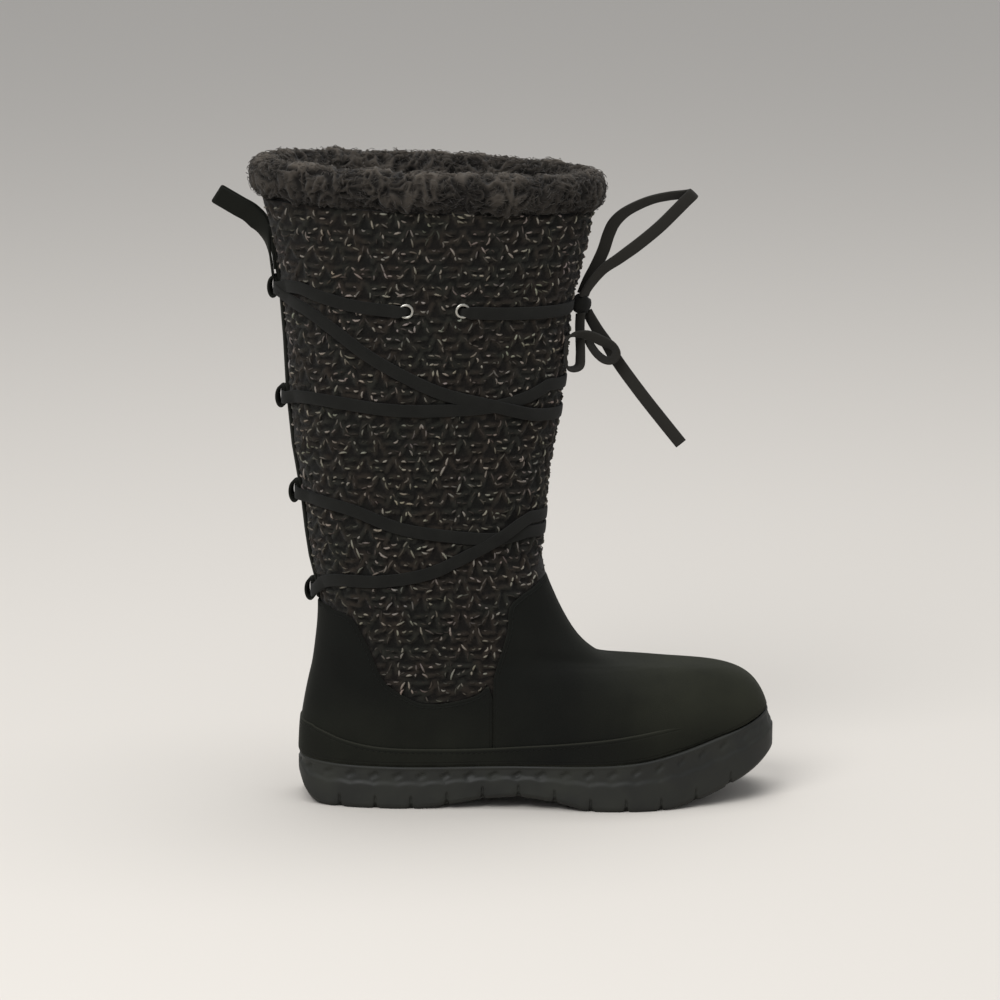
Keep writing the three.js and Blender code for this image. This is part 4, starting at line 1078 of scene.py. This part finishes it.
EDGE_SHADE = 0.6                           # vamp and counter show less of their pale cut edge
cut_skin("suede_vamp", vamp_outline, GAP, GAP + SUEDE, 400, 130, 11 / RINGS, "vamp", foot_dents,
         EDGE_SHADE)
cut_skin("suede_heel_counter", counter_outline, GAP, GAP + SUEDE, 400, 110, 10 / RINGS, "heel_counter",
         foot_dents, EDGE_SHADE)
RAND_LOW = GAP + SUEDE + GAP
cut_skin("suede_rand", rand_outline, RAND_LOW, RAND_LOW + SUEDE, 420, 70, 5 / RINGS, "rand", fade=(130, 192))

# %% [markdown]
# ## Seams
#
# A row of short stitches holds every open edge of the suede. Each stitch is a thread that comes up,
# crosses about two millimetres and goes down again, so it is a short bent tube with its ends sunk in.

# %% Thread
# Bonded nylon thread, black, with only a slight gloss of wax.
thread, tree, shader, place = start_material(
    "nylon_thread_waxed", {"Roughness": 0.75, "IOR": 1.53, "Specular IOR Level": 0.15})
thread_colour = blend(tree, grain(tree, place, 0.4, 2.0), "#0b0c0a", "#181915")
tree.links.new(thread_colour, shader.inputs["Base Color"])
SEAM_INSET, RAND_SEAM_INSET = 2.1, 2.0     # from the edge to the seam
STITCH_PITCH = 3.1
STITCH_LENGTH = 2.3
THREAD_RADIUS = 0.22


def stitch_row(top_edge, outline, inset, lift, x_range):
    """Stitches along an edge on both sides of the boot, an inset below it."""
    steps = np.concatenate([[0], np.cumsum(np.linalg.norm(np.diff(top_edge, axis=0), axis=1))])
    at = np.arange(2, steps[-1] - 2, STITCH_PITCH)
    ends = np.stack([at - STITCH_LENGTH / 2, at, at + STITCH_LENGTH / 2], 1)
    line = np.stack([np.interp(ends, steps, top_edge[:, i]) for i in range(2)], -1)
    along = unit(line[:, 2] - line[:, 0])
    away = np.stack([along[:, 1], -along[:, 0]], -1)
    probe = line[:, 1] + away * inset
    away *= np.where(inside_distance(outline, probe[:, 0], probe[:, 1]) > 0, 1, -1)[:, None]
    line = line + away[:, None] * inset
    section = section_at(surface_place(line[:, 1, 0], line[:, 1, 1])[1])
    share = (line[:, 1, 0] - section["back_x"]) / (section["front_x"] - section["back_x"])
    keep = (share > 0.004) & (share < 0.985) & (line[:, 1, 0] > x_range[0]) & (line[:, 1, 0] < x_range[1])
    u, v = surface_place(line[keep][..., 0], line[keep][..., 1])
    rows = []
    for turned in (u, 1 - u):
        height = lift + np.array([-0.25, 0.22, -0.25])
        rows.append(on_last(turned, v, np.broadcast_to(height, u.shape)))
    return np.concatenate(rows), np.concatenate([outward(u[:, 1], v[:, 1]), outward(1 - u[:, 1], v[:, 1])])


stitch_rows = [
    stitch_row(counter_top, counter_outline, SEAM_INSET, GAP + SUEDE, (-60, 68)),
    stitch_row(vamp_top, vamp_outline, SEAM_INSET, GAP + SUEDE, (74, 200)),
    stitch_row(rand_top, rand_outline, RAND_SEAM_INSET, RAND_LOW + SUEDE, (-8, 128)),
]
stitch_paths = np.concatenate([r[0] for r in stitch_rows])
stitch_outs = np.concatenate([r[1] for r in stitch_rows])
fine = np.linspace(0, 1, 5)
first, second, third = (stitch_paths[:, i, None] for i in range(3))
peak = 2 * second - (first + third) / 2
bend = (((1 - fine) ** 2)[:, None] * first + (2 * fine * (1 - fine))[:, None] * peak
        + (fine ** 2)[:, None] * third)
points, faces = tubes(bend, np.full(len(bend), THREAD_RADIUS), stitch_outs, 5, 0.9)
make_piece("suede_stitches", points, faces, thread)

# %% [markdown]
# ## The sole
#
# The sole is moulded rubber in one piece: a plain band under the suede, a row of proud blocks below it,
# notched between, and cross cuts under the foot. It is built as a row of closed cross sections from heel
# to toe. The side of each section is pushed in by a depth worked out from its place, so every notch and
# recess is real shape.

# %% Lines of the sole
TREAD_LINE = np.array([
    (-0.01, 0.82, 0), (0, 0.62, 0), (0.01, 0.32, 0), (0.02, 0.16, 0), (0.034, 0.06, 0), (0.055, 0.01, 0),
    (0.09, 0, 0), (0.235, 0, 0), (0.3, 0, 0.3), (0.38, 0, 0.8), (0.46, 0, 1), (0.54, 0, 0.6),
    (0.61, 0, 0), (0.75, 0, 0), (0.82, 0.13, 0), (0.89, 0.4, 0), (0.95, 0.72, 0), (1.01, 1.2, 0),
])
FOOTPRINT = {"heel": 0.72, "waist": 0.71, "ball": 1.0, "toe": 0.74, "blunt": 0.58, "turn": 0.1}
TREAD_STEP = 1.4
SIPE_PITCH = 20.2
SIPE_FIRST = 4.6
SIPE_HALF = 0.75
SIPE_DEPTH = 3.0
CHANNEL_OFFSET = 15.0
CHANNEL_HALF = 2.0


def tread_z(share):
    """Underside of the tread."""
    toe = smooth_table(TREAD_LINE[:, 0], TREAD_LINE[:, 1], share)
    arch = smooth_table(TREAD_LINE[:, 0], TREAD_LINE[:, 2], share)
    return np.maximum(toe, 0) * TOE_LIFT + np.maximum(arch, 0) * ARCH_LIFT


def sole_outline(u):
    """The sole's footprint at u, as x and y."""
    section = {k: np.full_like(u, w * (1 if k == "blunt" else SOLE_WIDTH)) for k, w in FOOTPRINT.items()}
    share, y = along_section(section, u)
    return np.stack([share * SOLE_LENGTH - HEEL_BACK, y], -1)


# %% Side pattern of the sole
sipes = SIPE_FIRST + SIPE_PITCH * np.arange(-1, 11)
RECESS_PITCH = SIPE_PITCH * 0.67
RECESS_START = 36.0                        # way round from the heel to the middle of one of them
RECESS_DROP = 5.2                          # below the top edge
RECESS_LEAN = 0.5
RECESS_DEPTH = 1.1
BAND_SHARE = 0.58                          # where the plain upper band starts, as a share of the height
BAND_DEPTH = 1.1
BAND_WAVE = 1.1                            # how far the line below the band goes up and down
CORNER_CUT = 1.1                           # how far the blocks' corners are rounded back at a sipe
TOE_START, TOE_FULL = 196, 224             # x where the toe's own form sets in, and where it is complete
TOE_LEAN = 2.4                             # how far the toe's edge leans in at the top
TOE_DROP = 2.5                             # how far the top edge comes down at the toe


def sipe_distance(x):
    """Distance along the sole to the nearest cross cut."""
    return np.abs(x[..., None] - sipes).min(axis=-1)


def side_depth(x, z, low, high, run):
    """How far the side is pushed in at x and z, between tread and top; run is the way round from the heel."""
    rise, full = z - low, high - low
    depth = TREAD_STEP * (1 - smooth_step(0, 2.4, rise))
    recess_phase = (run - RECESS_START) / RECESS_PITCH
    wave = BAND_WAVE * np.abs(np.sin(np.pi * recess_phase)) ** 0.8
    depth = np.maximum(depth, BAND_DEPTH * smooth_step(-1.1, 1.1, rise - full * BAND_SHARE - wave))
    depth = depth * (1 - 0.5 * smooth_step(-1.9, -1.1, z - high)) + 0.8 * smooth_step(-1.0, 0.1, z - high)
    near = sipe_distance(x)
    slot_half = 0.6 + 0.5 * np.clip(2.4 - rise, 0, 2.4)
    slot = 1 - smooth_step(slot_half - 0.35, slot_half + 0.35, near)
    slot_depth = (1.0 + 2.4 * (1 - smooth_step(1.8, 3.4, rise))) * (1 - smooth_step(6.4, 8, rise))
    depth = np.maximum(depth, slot * slot_depth)
    corner = CORNER_CUT * np.exp(-(near / 2.4) ** 2) * (1 - smooth_step(0, 7, rise))
    depth = depth + corner * (1 - slot)
    dx = ((recess_phase + 0.5) % 1 - 0.5) * RECESS_PITCH
    dz = z - (high - RECESS_DROP)
    ca, sa = math.cos(RECESS_LEAN), math.sin(RECESS_LEAN)
    along, off = dx * ca + dz * sa, -dx * sa + dz * ca
    pocket = (1 - smooth_step(1.4, 3.8, np.abs(along))) * (1 - smooth_step(0.5, 2.2, np.abs(off)))
    toe = smooth_step(TOE_START, TOE_FULL, x)
    toe_slant = TOE_LEAN * toe * smooth_step(-9, 0, z - high)
    pocket = pocket * smooth_step(3, 9, run) * (1 - 0.6 * toe)
    return depth + RECESS_DEPTH * pocket + toe_slant


# %% Rubber
# Moulded rubber with a little carbon black: dark grey, satin, and dusty where it meets the ground.
rubber, tree, shader, place = start_material(
    "rubber_moulded", {"Roughness": 0.62, "IOR": 1.52, "Specular IOR Level": 0.3})
dust = ramp(tree, grain(tree, place, 18, 5.0), 0.4, 0.7)
tree.links.new(blend(tree, dust, "#1b1c19", "#272823"), shader.inputs["Base Color"])
tree.links.new(ramp(tree, dust, 0.0, 1.0, 0.52, 0.75), shader.inputs["Roughness"])
tree.links.new(raised(tree, grain(tree, place, 0.6, 2.0), 0.25, 0.15), shader.inputs["Normal"])

# %% Build the sole
fine_u = np.linspace(0, 0.5, 4001)
fine_xy = sole_outline(fine_u)
fine_run = np.concatenate([[0], np.cumsum(np.linalg.norm(np.diff(fine_xy, axis=0), axis=1))])
COLUMN_STEP = 1.15
even_u = np.interp(np.arange(0, fine_run[-1], COLUMN_STEP), fine_run, fine_u)
cut_x = (sipes[:, None] + np.array([-1.5, -1.05, -0.7, -0.35, 0.35, 0.7, 1.05, 1.5])[None]).ravel()
cut_u = np.interp(cut_x[(cut_x > -30) & (cut_x < 225)], fine_xy[:, 0], fine_u)
sole_u = np.unique(np.concatenate([even_u, cut_u, [0.5]]).round(6))

WALL_ROWS = np.linspace(0, 1, 30)
ACROSS_ROWS = np.linspace(0, 1, 50)[1:-1]
TOP_ROWS = np.linspace(0, 1, 9)[1:-1]


def wall_points(u):
    """The side of the sole, one row of points for each u, from the tread up."""
    xy = sole_outline(u)
    small = 0.006
    along = unit(sole_outline((u + small) % 1) - sole_outline((u - small) % 1))
    inward = np.stack([-along[:, 1], along[:, 0]], -1)
    x, share = xy[:, 0], sole_share(xy[:, 0])
    low, high = tread_z(share), sole_top_z(share) - TOE_DROP * smooth_step(0.86, 1, share)
    z = low[:, None] + (high - low)[:, None] * WALL_ROWS[None]
    run = np.interp(np.minimum(u, 1 - u), fine_u, fine_run)
    depth = side_depth(np.broadcast_to(x[:, None], z.shape), z, low[:, None], high[:, None], run[:, None])
    place = xy[:, None] + inward[:, None] * depth[..., None]
    return np.concatenate([place, z[..., None]], -1)


outer_wall = wall_points(sole_u)
inner_wall = wall_points(1 - sole_u)


def span_rows(start, end, rows):
    """Rows of points straight across from one side to the other."""
    return start[:, None] + (end - start)[:, None] * rows[None, :, None]


tread = span_rows(outer_wall[:, 0], inner_wall[:, 0], ACROSS_ROWS)
rib = 1 - smooth_step(SIPE_HALF - 0.35, SIPE_HALF + 0.35, sipe_distance(tread[..., 0]))
from_channel = np.abs(np.abs(tread[..., 1]) - CHANNEL_OFFSET)
groove = 1 - smooth_step(CHANNEL_HALF - 0.8, CHANNEL_HALF + 0.8, from_channel)
groove *= smooth_step(-22, -14, tread[..., 0]) * (1 - smooth_step(200, 212, tread[..., 0]))
tread[..., 2] += SIPE_DEPTH * np.maximum(rib, groove)
top = span_rows(inner_wall[:, -1], outer_wall[:, -1], TOP_ROWS)
loops = np.concatenate([tread, inner_wall, top, outer_wall[:, ::-1]], axis=1)
sole_faces = grid_faces(len(loops), loops.shape[1], close_columns=True)
sole_points = loops.reshape(-1, 3)
outsole = make_piece("rubber_outsole", sole_points, sole_faces, rubber, ["outsole"])
WELD_WITHIN = 0.003                        # both sides meet in one line at heel and toe
weld = bmesh.new()
weld.from_mesh(outsole.data)
bmesh.ops.remove_doubles(weld, verts=weld.verts, dist=WELD_WITHIN * MM)
weld.to_mesh(outsole.data)
print("edges of the sole without exactly two faces:", sum(not e.is_manifold for e in weld.edges))
weld.free()

# %% [markdown]
# ## The pile cuff
#
# The lining is curly pile and rolls out over the rim. The roll is a soft oval ring, and its matted curls
# are winding ridges of the surface itself. Over it lie thousands of short bent fibres, since the fibres
# at the outline tell the eye that it is pile and not foam.

# %% Shape of the roll
CUFF_HALF_WIDTH = 9.5
CUFF_HALF_HEIGHT = 11.5


def cuff_middle(u):
    """The line inside the roll, above the rim."""
    rim = on_last(u, np.ones_like(u), np.full_like(u, -WALL / 2))
    rim[..., 2] += CUFF_HALF_HEIGHT + GAP
    return rim


def cuff_out(u):
    """The level direction out of the roll."""
    side = outward(u, np.ones_like(u))
    side[..., 2] = 0
    return unit(side)


# %% Pile
# Polyester pile, crimped and felted: a lumpy mat of curls with greyer tips. The tip number also holds painted
# shade deep down between the curls, painted light on their tops and on the top of the roll, and painted shade
# on its lower side.
pile, tree, shader, place = start_material(
    "polyester_pile_crimped",
    {"Roughness": 0.95, "IOR": 1.5, "Specular IOR Level": 0.25, "Sheen Weight": 0.12, "Sheen Roughness": 0.4})
deep = blend(tree, grain(tree, place, 8, 3.0), "#0e0c0a", "#1b1815")
tree.links.new(blend(tree, number_on(tree, "tip_and_light"), deep, "#4c463f"), shader.inputs["Base Color"])
tree.links.new(raised(tree, grain(tree, place, 0.7, 3.0), 0.8, 0.5), shader.inputs["Normal"])

# %% Roll
ROLL_COLUMNS, ROLL_ROWS = 800, 92
CURL_SIZE = 6.0                            # millimetres from ridge to ridge
CURL_DEPTH = 4.2
CURL_BEND = 1.1                            # how strongly the ridges wind
CREST_ANGLE, CREST_HALF = 1.35, 0.6        # where the painted light on the top of the roll is strongest, in radians round the roll
SAG = 2.6                                  # how unevenly the outer lower side hangs
CURL_ROOM = 1.6                            # the smooth roll below the curls is this much smaller
roll_u = even_turns(ROLL_COLUMNS, 1.0)
roll_angle = np.arange(ROLL_ROWS) / ROLL_ROWS * 2 * np.pi
middle, out = cuff_middle(roll_u), cuff_out(roll_u)
ring = (out[:, None] * (np.cos(roll_angle) * (CUFF_HALF_WIDTH - CURL_ROOM))[None, :, None]
        + np.array([0, 0, 1.0]) * (np.sin(roll_angle) * (CUFF_HALF_HEIGHT - CURL_ROOM))[None, :, None])
roll = middle[:, None] + ring
roll_out = unit(ring)


def curl_height(point):
    """Height of the matted curls at a point: winding ridges with deep gaps, larger lumps below them."""
    place = Vector(point)
    bend = noise.noise_vector(place / (CURL_SIZE * 1.6)) * CURL_BEND
    ridge = 1 - 2 * abs(noise.noise(place / CURL_SIZE + bend))
    small = 1 - 2 * abs(noise.noise(place / (CURL_SIZE * 0.42) + bend * 1.5))
    return 0.6 * ridge + 0.25 * small + 0.5 * noise.noise(place / (CURL_SIZE * 2.4))


lumps = np.array([curl_height(p) for p in roll.reshape(-1, 3)]).reshape(roll.shape[:2])
roll = roll + roll_out * ((lumps - 0.35) * CURL_DEPTH)[..., None]
# The crest number is painted light along the top of the roll; low_side marks its lower outer side, which
# hangs lower and is painted darker as painted shade.
crest_light = np.exp(-((roll_angle - CREST_ANGLE) / CREST_HALF) ** 2)[None]
low_side = smooth_step(-0.1, -0.8, np.sin(roll_angle)) * smooth_step(-0.2, 0.3, np.cos(roll_angle))
sag = np.array([noise.noise(Vector(p) / 6.5) + 0.5 * noise.noise(Vector(p) / 2.6) for p in middle])
roll[..., 2] -= (0.2 + SAG * sag)[:, None] * low_side[None]
roll_faces = grid_faces(ROLL_COLUMNS, ROLL_ROWS, True, True)
# The tip number: paler on the tops of the curls, partly pale tips and partly painted light, with painted
# shade in the gaps, painted light on the crest and painted shade on the lower side.
make_piece("pile_roll", roll, roll_faces, pile, ["fur_cuff"],
           values={"tip_and_light": smooth_step(0.15, 1.0, lumps) * (0.6 + 0.75 * crest_light) * (1 - 0.45 * low_side[None])})

# %% Loose fibres
FIBRES = 6600
FIBRE_POINTS = 5
along_rim = unit(np.roll(middle, -1, 0) - np.roll(middle, 1, 0))
pick_row = RNG.integers(0, ROLL_COLUMNS, FIBRES)
pick_column = RNG.integers(0, ROLL_ROWS, FIBRES)
root, away = roll[pick_row, pick_column], roll_out[pick_row, pick_column]
level = along_rim[pick_row]
over = unit(np.cross(away, level))
swing = RNG.normal(0, 0.9, FIBRES)[:, None]
lie = level * np.cos(swing) + over * np.sin(swing)
wind = np.cross(away, lie)
long = (2.2 + 2.8 * RNG.random(FIBRES))[:, None, None]
curve = (RNG.random(FIBRES) - 0.5)[:, None, None] * 3.4
t = np.linspace(0, 1, FIBRE_POINTS)[None, :, None]
rise = -0.2 + 1.5 * np.sin(t * np.pi * 0.8) * RNG.random(FIBRES)[:, None, None]
fibres = (root[:, None] + away[:, None] * rise
          + lie[:, None] * long * (t - 0.4) + wind[:, None] * curve * t * t)
fibre_points, fibre_faces = tubes(fibres, 0.13 + 0.12 * RNG.random(FIBRES), away, sides=3, taper=0.4)
# The fibres carry the same painted light on the roll's top and painted shade on its lower side.
fibre_tips_and_light = (lumps[pick_row, pick_column] * 0.5 + 0.25 * RNG.random(FIBRES)
              + 0.4 * crest_light[0, pick_column] - 0.2 * low_side[pick_column])
make_piece("pile_fibres", fibre_points, fibre_faces, pile,
           values={"tip_and_light": np.repeat(np.clip(fibre_tips_and_light, 0, 1), 3 * FIBRE_POINTS)})

# %% [markdown]
# ## The lining
#
# Inside, the same pile is shorn shorter and lies against the leg. It is one skin with low lumps, seen only
# down the collar, so lumps and bump are enough and no curls are spent on it.

# %% Lining
LINING_ROWS, LINING_COLUMNS = 110, 200
lining_u, lining_v = np.meshgrid(even_turns(LINING_COLUMNS, 0.8), np.linspace(1, 0.02, LINING_ROWS))
lining_base = on_last(lining_u, lining_v, np.full(lining_u.shape, -WALL + 0.4))
lining_in = -outward(lining_u, lining_v)
bumps = np.array([noise.fractal(Vector(p) / 4.5, 0.6, 2.1, 2) for p in lining_base.reshape(-1, 3)])
bumps = bumps.reshape(lining_u.shape)
inner_face = lining_base + lining_in * (0.35 + 0.7 * np.clip(bumps, -0.5, 1))[..., None]
outer_u, outer_v = np.meshgrid(lining_u[0], np.linspace(0.02, 1, 12))
outer_face = on_last(outer_u, outer_v, np.full(outer_u.shape, LINING_THICKNESS - WALL - 0.15))
lining = np.concatenate([inner_face, outer_face])
# The lining is paler on the tops of its lumps.
make_piece("pile_lining", lining, grid_faces(len(lining), LINING_COLUMNS, True, True)[:, ::-1], pile,
           values={"tip_and_light": np.concatenate([np.clip(0.2 + 0.5 * bumps, 0, 1), np.zeros(outer_u.shape)])})

# %% [markdown]
# ## Strap, loops and pull tab
#
# A suede strap covers the back seam of the knit. Four small loops on it carry the lace, and a longer one
# at the top is the tab that the boot is pulled on by. They are flat bands bent round, so each is one sweep.

# %% Back strap and its loops
STRAP_LOW = 1.5 * INSTEP_HEIGHT
STRAP_HIGH = 0.955 * RIM_HEIGHT
STRAP_LIFT = 0.5                           # it lies on the plies of the knit
STRAP_RUB = 0.15
LOOP_TURN = math.radians(-10)
UP = np.array([0, 0, 1.0])


def suede_band(name, parts, node):
    """Several bands as one piece with the values that the suede reads."""
    points, faces = join_parts(parts)
    values = {"rub_and_light": np.full(len(points), STRAP_RUB), "inset": np.full(len(points), DEEP_INSIDE)}
    make_piece(name, points, faces, suede, [node], values=values)


strap_z = np.linspace(STRAP_LOW, STRAP_HIGH, 120)
strap_path = np.stack([back_at(strap_z) - GAP - STRAP_LIFT - SUEDE / 2, np.zeros_like(strap_z), strap_z], -1)
facing_back = np.tile(np.array([-1.0, 0, 0]), (len(strap_z), 1))
strap_parts = [sweep_band(strap_path, facing_back, STRAP_WIDTH, SUEDE, cup=1.1)]
for share in LOOP_ROWS:
    x, z = slot_place(share)
    angle = np.linspace(0, 2 * np.pi, 40, endpoint=False)
    half_x, half_z = LOOP_GAP / 2 + SUEDE / 2, LOOP_HEIGHT / 2 + SUEDE / 2
    level = np.array([math.cos(LOOP_TURN), math.sin(LOOP_TURN), 0])
    oval = (np.array([x, 0, z]) + level * (half_x * np.cos(angle))[:, None]
            + UP * (half_z * np.sin(angle))[:, None])
    face = unit(level * (np.cos(angle) / half_x)[:, None] + UP * (np.sin(angle) / half_z)[:, None])
    strap_parts.append(sweep_band(oval, face, STRAP_WIDTH * 0.92, SUEDE, closed=True))
suede_band("suede_back_strap", strap_parts, "back_strap")

# %% Pull tab
PULL_WIDTH = 13.0
PULL_TURN = math.radians(58)               # about its own length, so that its face shows
PULL_APART = 0.85                          # from the middle to each of its two layers
PULL_MIDDLE = [(-51.2, 298), (-52, 304.5), (-53.1, 311.6), (-55, 319.5), (-58.6, 327.6),
               (-64.7, 334.2), (-71, 337.9), (-76.9, 341.4), (-82.2, 344.5)]
AXIS_Y = np.array([0, 1.0, 0])
middle_line = smooth_route([(x, 0, z) for x, z in PULL_MIDDLE], 1.2)
out_of_boot = unit(np.gradient(middle_line, axis=0))
upright = np.cross(out_of_boot, AXIS_Y)
turn = PULL_TURN * smooth_step(-52, -61, middle_line[:, 0])[:, None]
wide = AXIS_Y * np.cos(turn) + upright * np.sin(turn)
aside = AXIS_Y * np.sin(turn) - upright * np.cos(turn)
upper = middle_line[:, 2] > 302
bend = np.linspace(0, np.pi, 9)[1:-1, None]
fold = middle_line[-1] + PULL_APART * (out_of_boot[-1] * np.sin(bend) * 1.3 + aside[-1] * np.cos(bend))
near_layer = (middle_line + PULL_APART * aside)[upper]
far_layer = (middle_line - PULL_APART * aside)[::-1]
line = np.concatenate([near_layer, fold, far_layer])
wide = np.concatenate([wide[upper], np.tile(wide[-1], (len(fold), 1)), wide[::-1]])
face = np.cross(unit(np.gradient(line, axis=0)), wide)
suede_band("suede_pull_tab", [sweep_band(line, unit(face), PULL_WIDTH, SUEDE)], "pull_loop")

# %% [markdown]
# ## The wound lace
#
# The same flat lace, now drawn tight. Where two courses cross, one rides over the other. At an eyelet the
# lace dives into the hole, so its end bends inward, and it stops there, inside the wall.

# %% Wind the lace
def wound(name, loop, us, lift, closed=True, narrow=1.0):
    """One course as a band."""
    path, normals = course_line(name, loop, us, lift)
    return sweep_band(path, normals, closed=closed, cup=0.2, narrow=narrow)


def through_hole(gap):
    """Lift and width of the lace near an eyelet, from the distance to the hole's middle along the lace."""
    over_ring = 0.9 * (1 - smooth_step(EYELET_RADIUS, EYELET_RADIUS + 4, gap))
    dive = 4.2 * (1 - smooth_step(-1.6, 2.4, gap))
    return LACE_LIFT + over_ring - dive, 1 - 0.42 * (1 - smooth_step(-0.5, 5, gap))


def crossing_lift(us, centre, width):
    """Extra height where a course rides over another, on both sides of the boot."""
    side = np.where(us % 1 <= 0.5, us % 1, 1 - us % 1)
    return LACE_THICKNESS * np.exp(-((side - centre) / width) ** 2)


base_lift = np.full(LACE_STEPS, LACE_LIFT)
CROSSING = (0.36, 0.035)                   # place and width of the crossings, in u
PAST_HOLE = 0.004                          # how far the lace goes on past the hole's middle, in u
reach, first = (float(surface_place(EYELETS[name][0] * LEG_DEPTH, EYELETS[name][1] * RIM_HEIGHT)[0])
                for name in ("rear", "front"))
NEAR_V = 0.83                              # v close to that of the eyelets
small = 0.002
U_LENGTH = np.linalg.norm(bare(reach + small, NEAR_V) - bare(reach - small, NEAR_V)) / (2 * small)
top_us = np.linspace(-reach - PAST_HOLE, reach + PAST_HOLE, 220)
top_lift, top_narrow = through_hole((reach - np.abs(top_us)) * U_LENGTH)
upper_parts = [
    wound("steep", 3, whole_turn, base_lift + crossing_lift(whole_turn, *CROSSING)),
    wound("flat", 2, whole_turn, base_lift),
    wound("top", 3, top_us, top_lift, False, top_narrow),
]
points, faces = join_parts(upper_parts)
make_piece("lace_wound_upper", points, faces, lace_suede, ["lace_wrap_upper"])
lower_parts = [
    wound("low_steep", 1, whole_turn, base_lift),
    wound("low_flat", 0, whole_turn, base_lift + crossing_lift(whole_turn, *CROSSING)),
]
points, faces = join_parts(lower_parts)
make_piece("lace_wound_lower", points, faces, lace_suede, ["lace_wrap_lower"])

# %% Bars to the knot
bar_end = np.array(COURSES["front"][-1]) * [LEG_DEPTH, RIM_HEIGHT]
last = float(surface_place(*bar_end)[0])
bar_us = np.linspace(first - PAST_HOLE, last, 160)
bar_lift, bar_narrow = through_hole((bar_us - first) * U_LENGTH)
for side, us in (("outer", bar_us), ("inner", 1 - bar_us)):
    points, faces = wound("front", None, us, bar_lift, False, bar_narrow)
    make_piece(f"lace_front_{side}", points, faces, lace_suede, [f"lace_bar_{side}"])

# %% Knot
# Three turns of the lace round a small core: size across and upright, tilt and width of each turn.
KNOT_TURNS = [(5.0, 3.8, 12, 7.4), (4.8, 4.3, -46, 6.2), (5.2, 3.5, 70, 5.2)]
KNOT_CORE = np.array([4.4, 3.6, 5.7])
KNOT_LACE = 1.7                            # the lace is a little thicker where it is bunched
KNOT_STEPS, CORE_ROWS = 44, 16
knot_turn = np.arange(KNOT_STEPS) / KNOT_STEPS * 2 * np.pi
knot_parts = []
for wide_x, wide_y, tilt, width in KNOT_TURNS:
    a = math.radians(tilt)
    wobble = 1 + 0.08 * np.sin(3 * knot_turn + tilt)
    wrap_x, wrap_y = np.cos(knot_turn) * wide_x * wobble, np.sin(knot_turn) * wide_y * wobble
    wrap = np.stack([wrap_x, wrap_y, 0 * knot_turn], -1)
    spin = np.array([[math.cos(a), 0, math.sin(a)], [0, 1, 0], [-math.sin(a), 0, math.cos(a)]])
    knot_parts.append(sweep_band(wrap @ spin.T + KNOT_PLACE, unit(wrap) @ spin.T, width, KNOT_LACE,
                                 closed=True, cup=1.1))
pole, spin_angle = np.meshgrid(np.linspace(0.05, np.pi - 0.05, CORE_ROWS), knot_turn, indexing="ij")
core = np.stack([np.sin(pole) * np.cos(spin_angle), np.sin(pole) * np.sin(spin_angle), np.cos(pole)], -1)
core = core * KNOT_CORE
core_faces = grid_faces(CORE_ROWS, KNOT_STEPS, close_columns=True).tolist()
core_faces.append(list(range(KNOT_STEPS))[::-1])
core_faces.append(list(range((CORE_ROWS - 1) * KNOT_STEPS, CORE_ROWS * KNOT_STEPS)))
knot_parts.append(((core + KNOT_PLACE).reshape(-1, 3), core_faces))
points, faces = join_parts(knot_parts)
make_piece("lace_knot_turns", points, faces, lace_suede, ["lace_knot"])

# %% [markdown]
# ## Eyelets
#
# Each eyelet is a thin brass ring, nickel plated, pressed over the edge of the hole. A turned profile with
# a rolled lip gives the bright curved line that a flat washer would not.

# %% Nickel and rings
nickel, tree, shader, place = start_material("brass_nickel_plated", {"Metallic": 1.0, "Roughness": 0.3})
scuff = grain(tree, place, 1.2, 4.0)
tree.links.new(blend(tree, scuff, "#8f8d86", "#c4c2ba"), shader.inputs["Base Color"])
tree.links.new(ramp(tree, scuff, 0.0, 1.0, 0.22, 0.48), shader.inputs["Roughness"])

EYELET_PROFILE = np.array([
    (EYELET_HOLE, -1.6), (EYELET_HOLE, 0.5), (EYELET_HOLE + 0.25, 0.95), (3.5, 1.1), (4.1, 0.8),
    (EYELET_RADIUS, 0.15), (4.2, 0.0), (3.2, 0.1), (EYELET_HOLE + 0.3, -1.6),
])
RING_STEPS = 48
for name, (turn, v) in eyelet_places.items():
    out = outward(turn, v)
    right = unit(np.cross(out, [0, 0, 1.0]))
    rise = np.cross(right, out)
    angle = np.arange(RING_STEPS) / RING_STEPS * 2 * np.pi
    spoke = right * np.cos(angle)[:, None] + rise * np.sin(angle)[:, None]
    rings = (bare(turn, v) + out * GAP + spoke[:, None] * EYELET_PROFILE[None, :, :1]
             + out * EYELET_PROFILE[None, :, 1:])
    ring_faces = grid_faces(RING_STEPS, len(EYELET_PROFILE), True, True)
    make_piece(name + "_ring", rings, ring_faces, nickel, [name])

# %% [markdown]
# ## Insole
#
# The insole is a plain felt sock, glued in. The CAD solid already has its true shape, so it stays and only
# gets its felt.

# %% Felt
felt, tree, shader, place = start_material(
    "wool_felt_pressed", {"Roughness": 1.0, "IOR": 1.45, "Sheen Weight": 0.2})
matt = grain(tree, place, 1.5, 5.0)
tree.links.new(blend(tree, matt, "#211d1a", "#3d3732"), shader.inputs["Base Color"])
tree.links.new(raised(tree, matt, 0.7, 0.5), shader.inputs["Normal"])
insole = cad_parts["insole"]
insole.data.materials.clear()
insole.data.materials.append(felt)
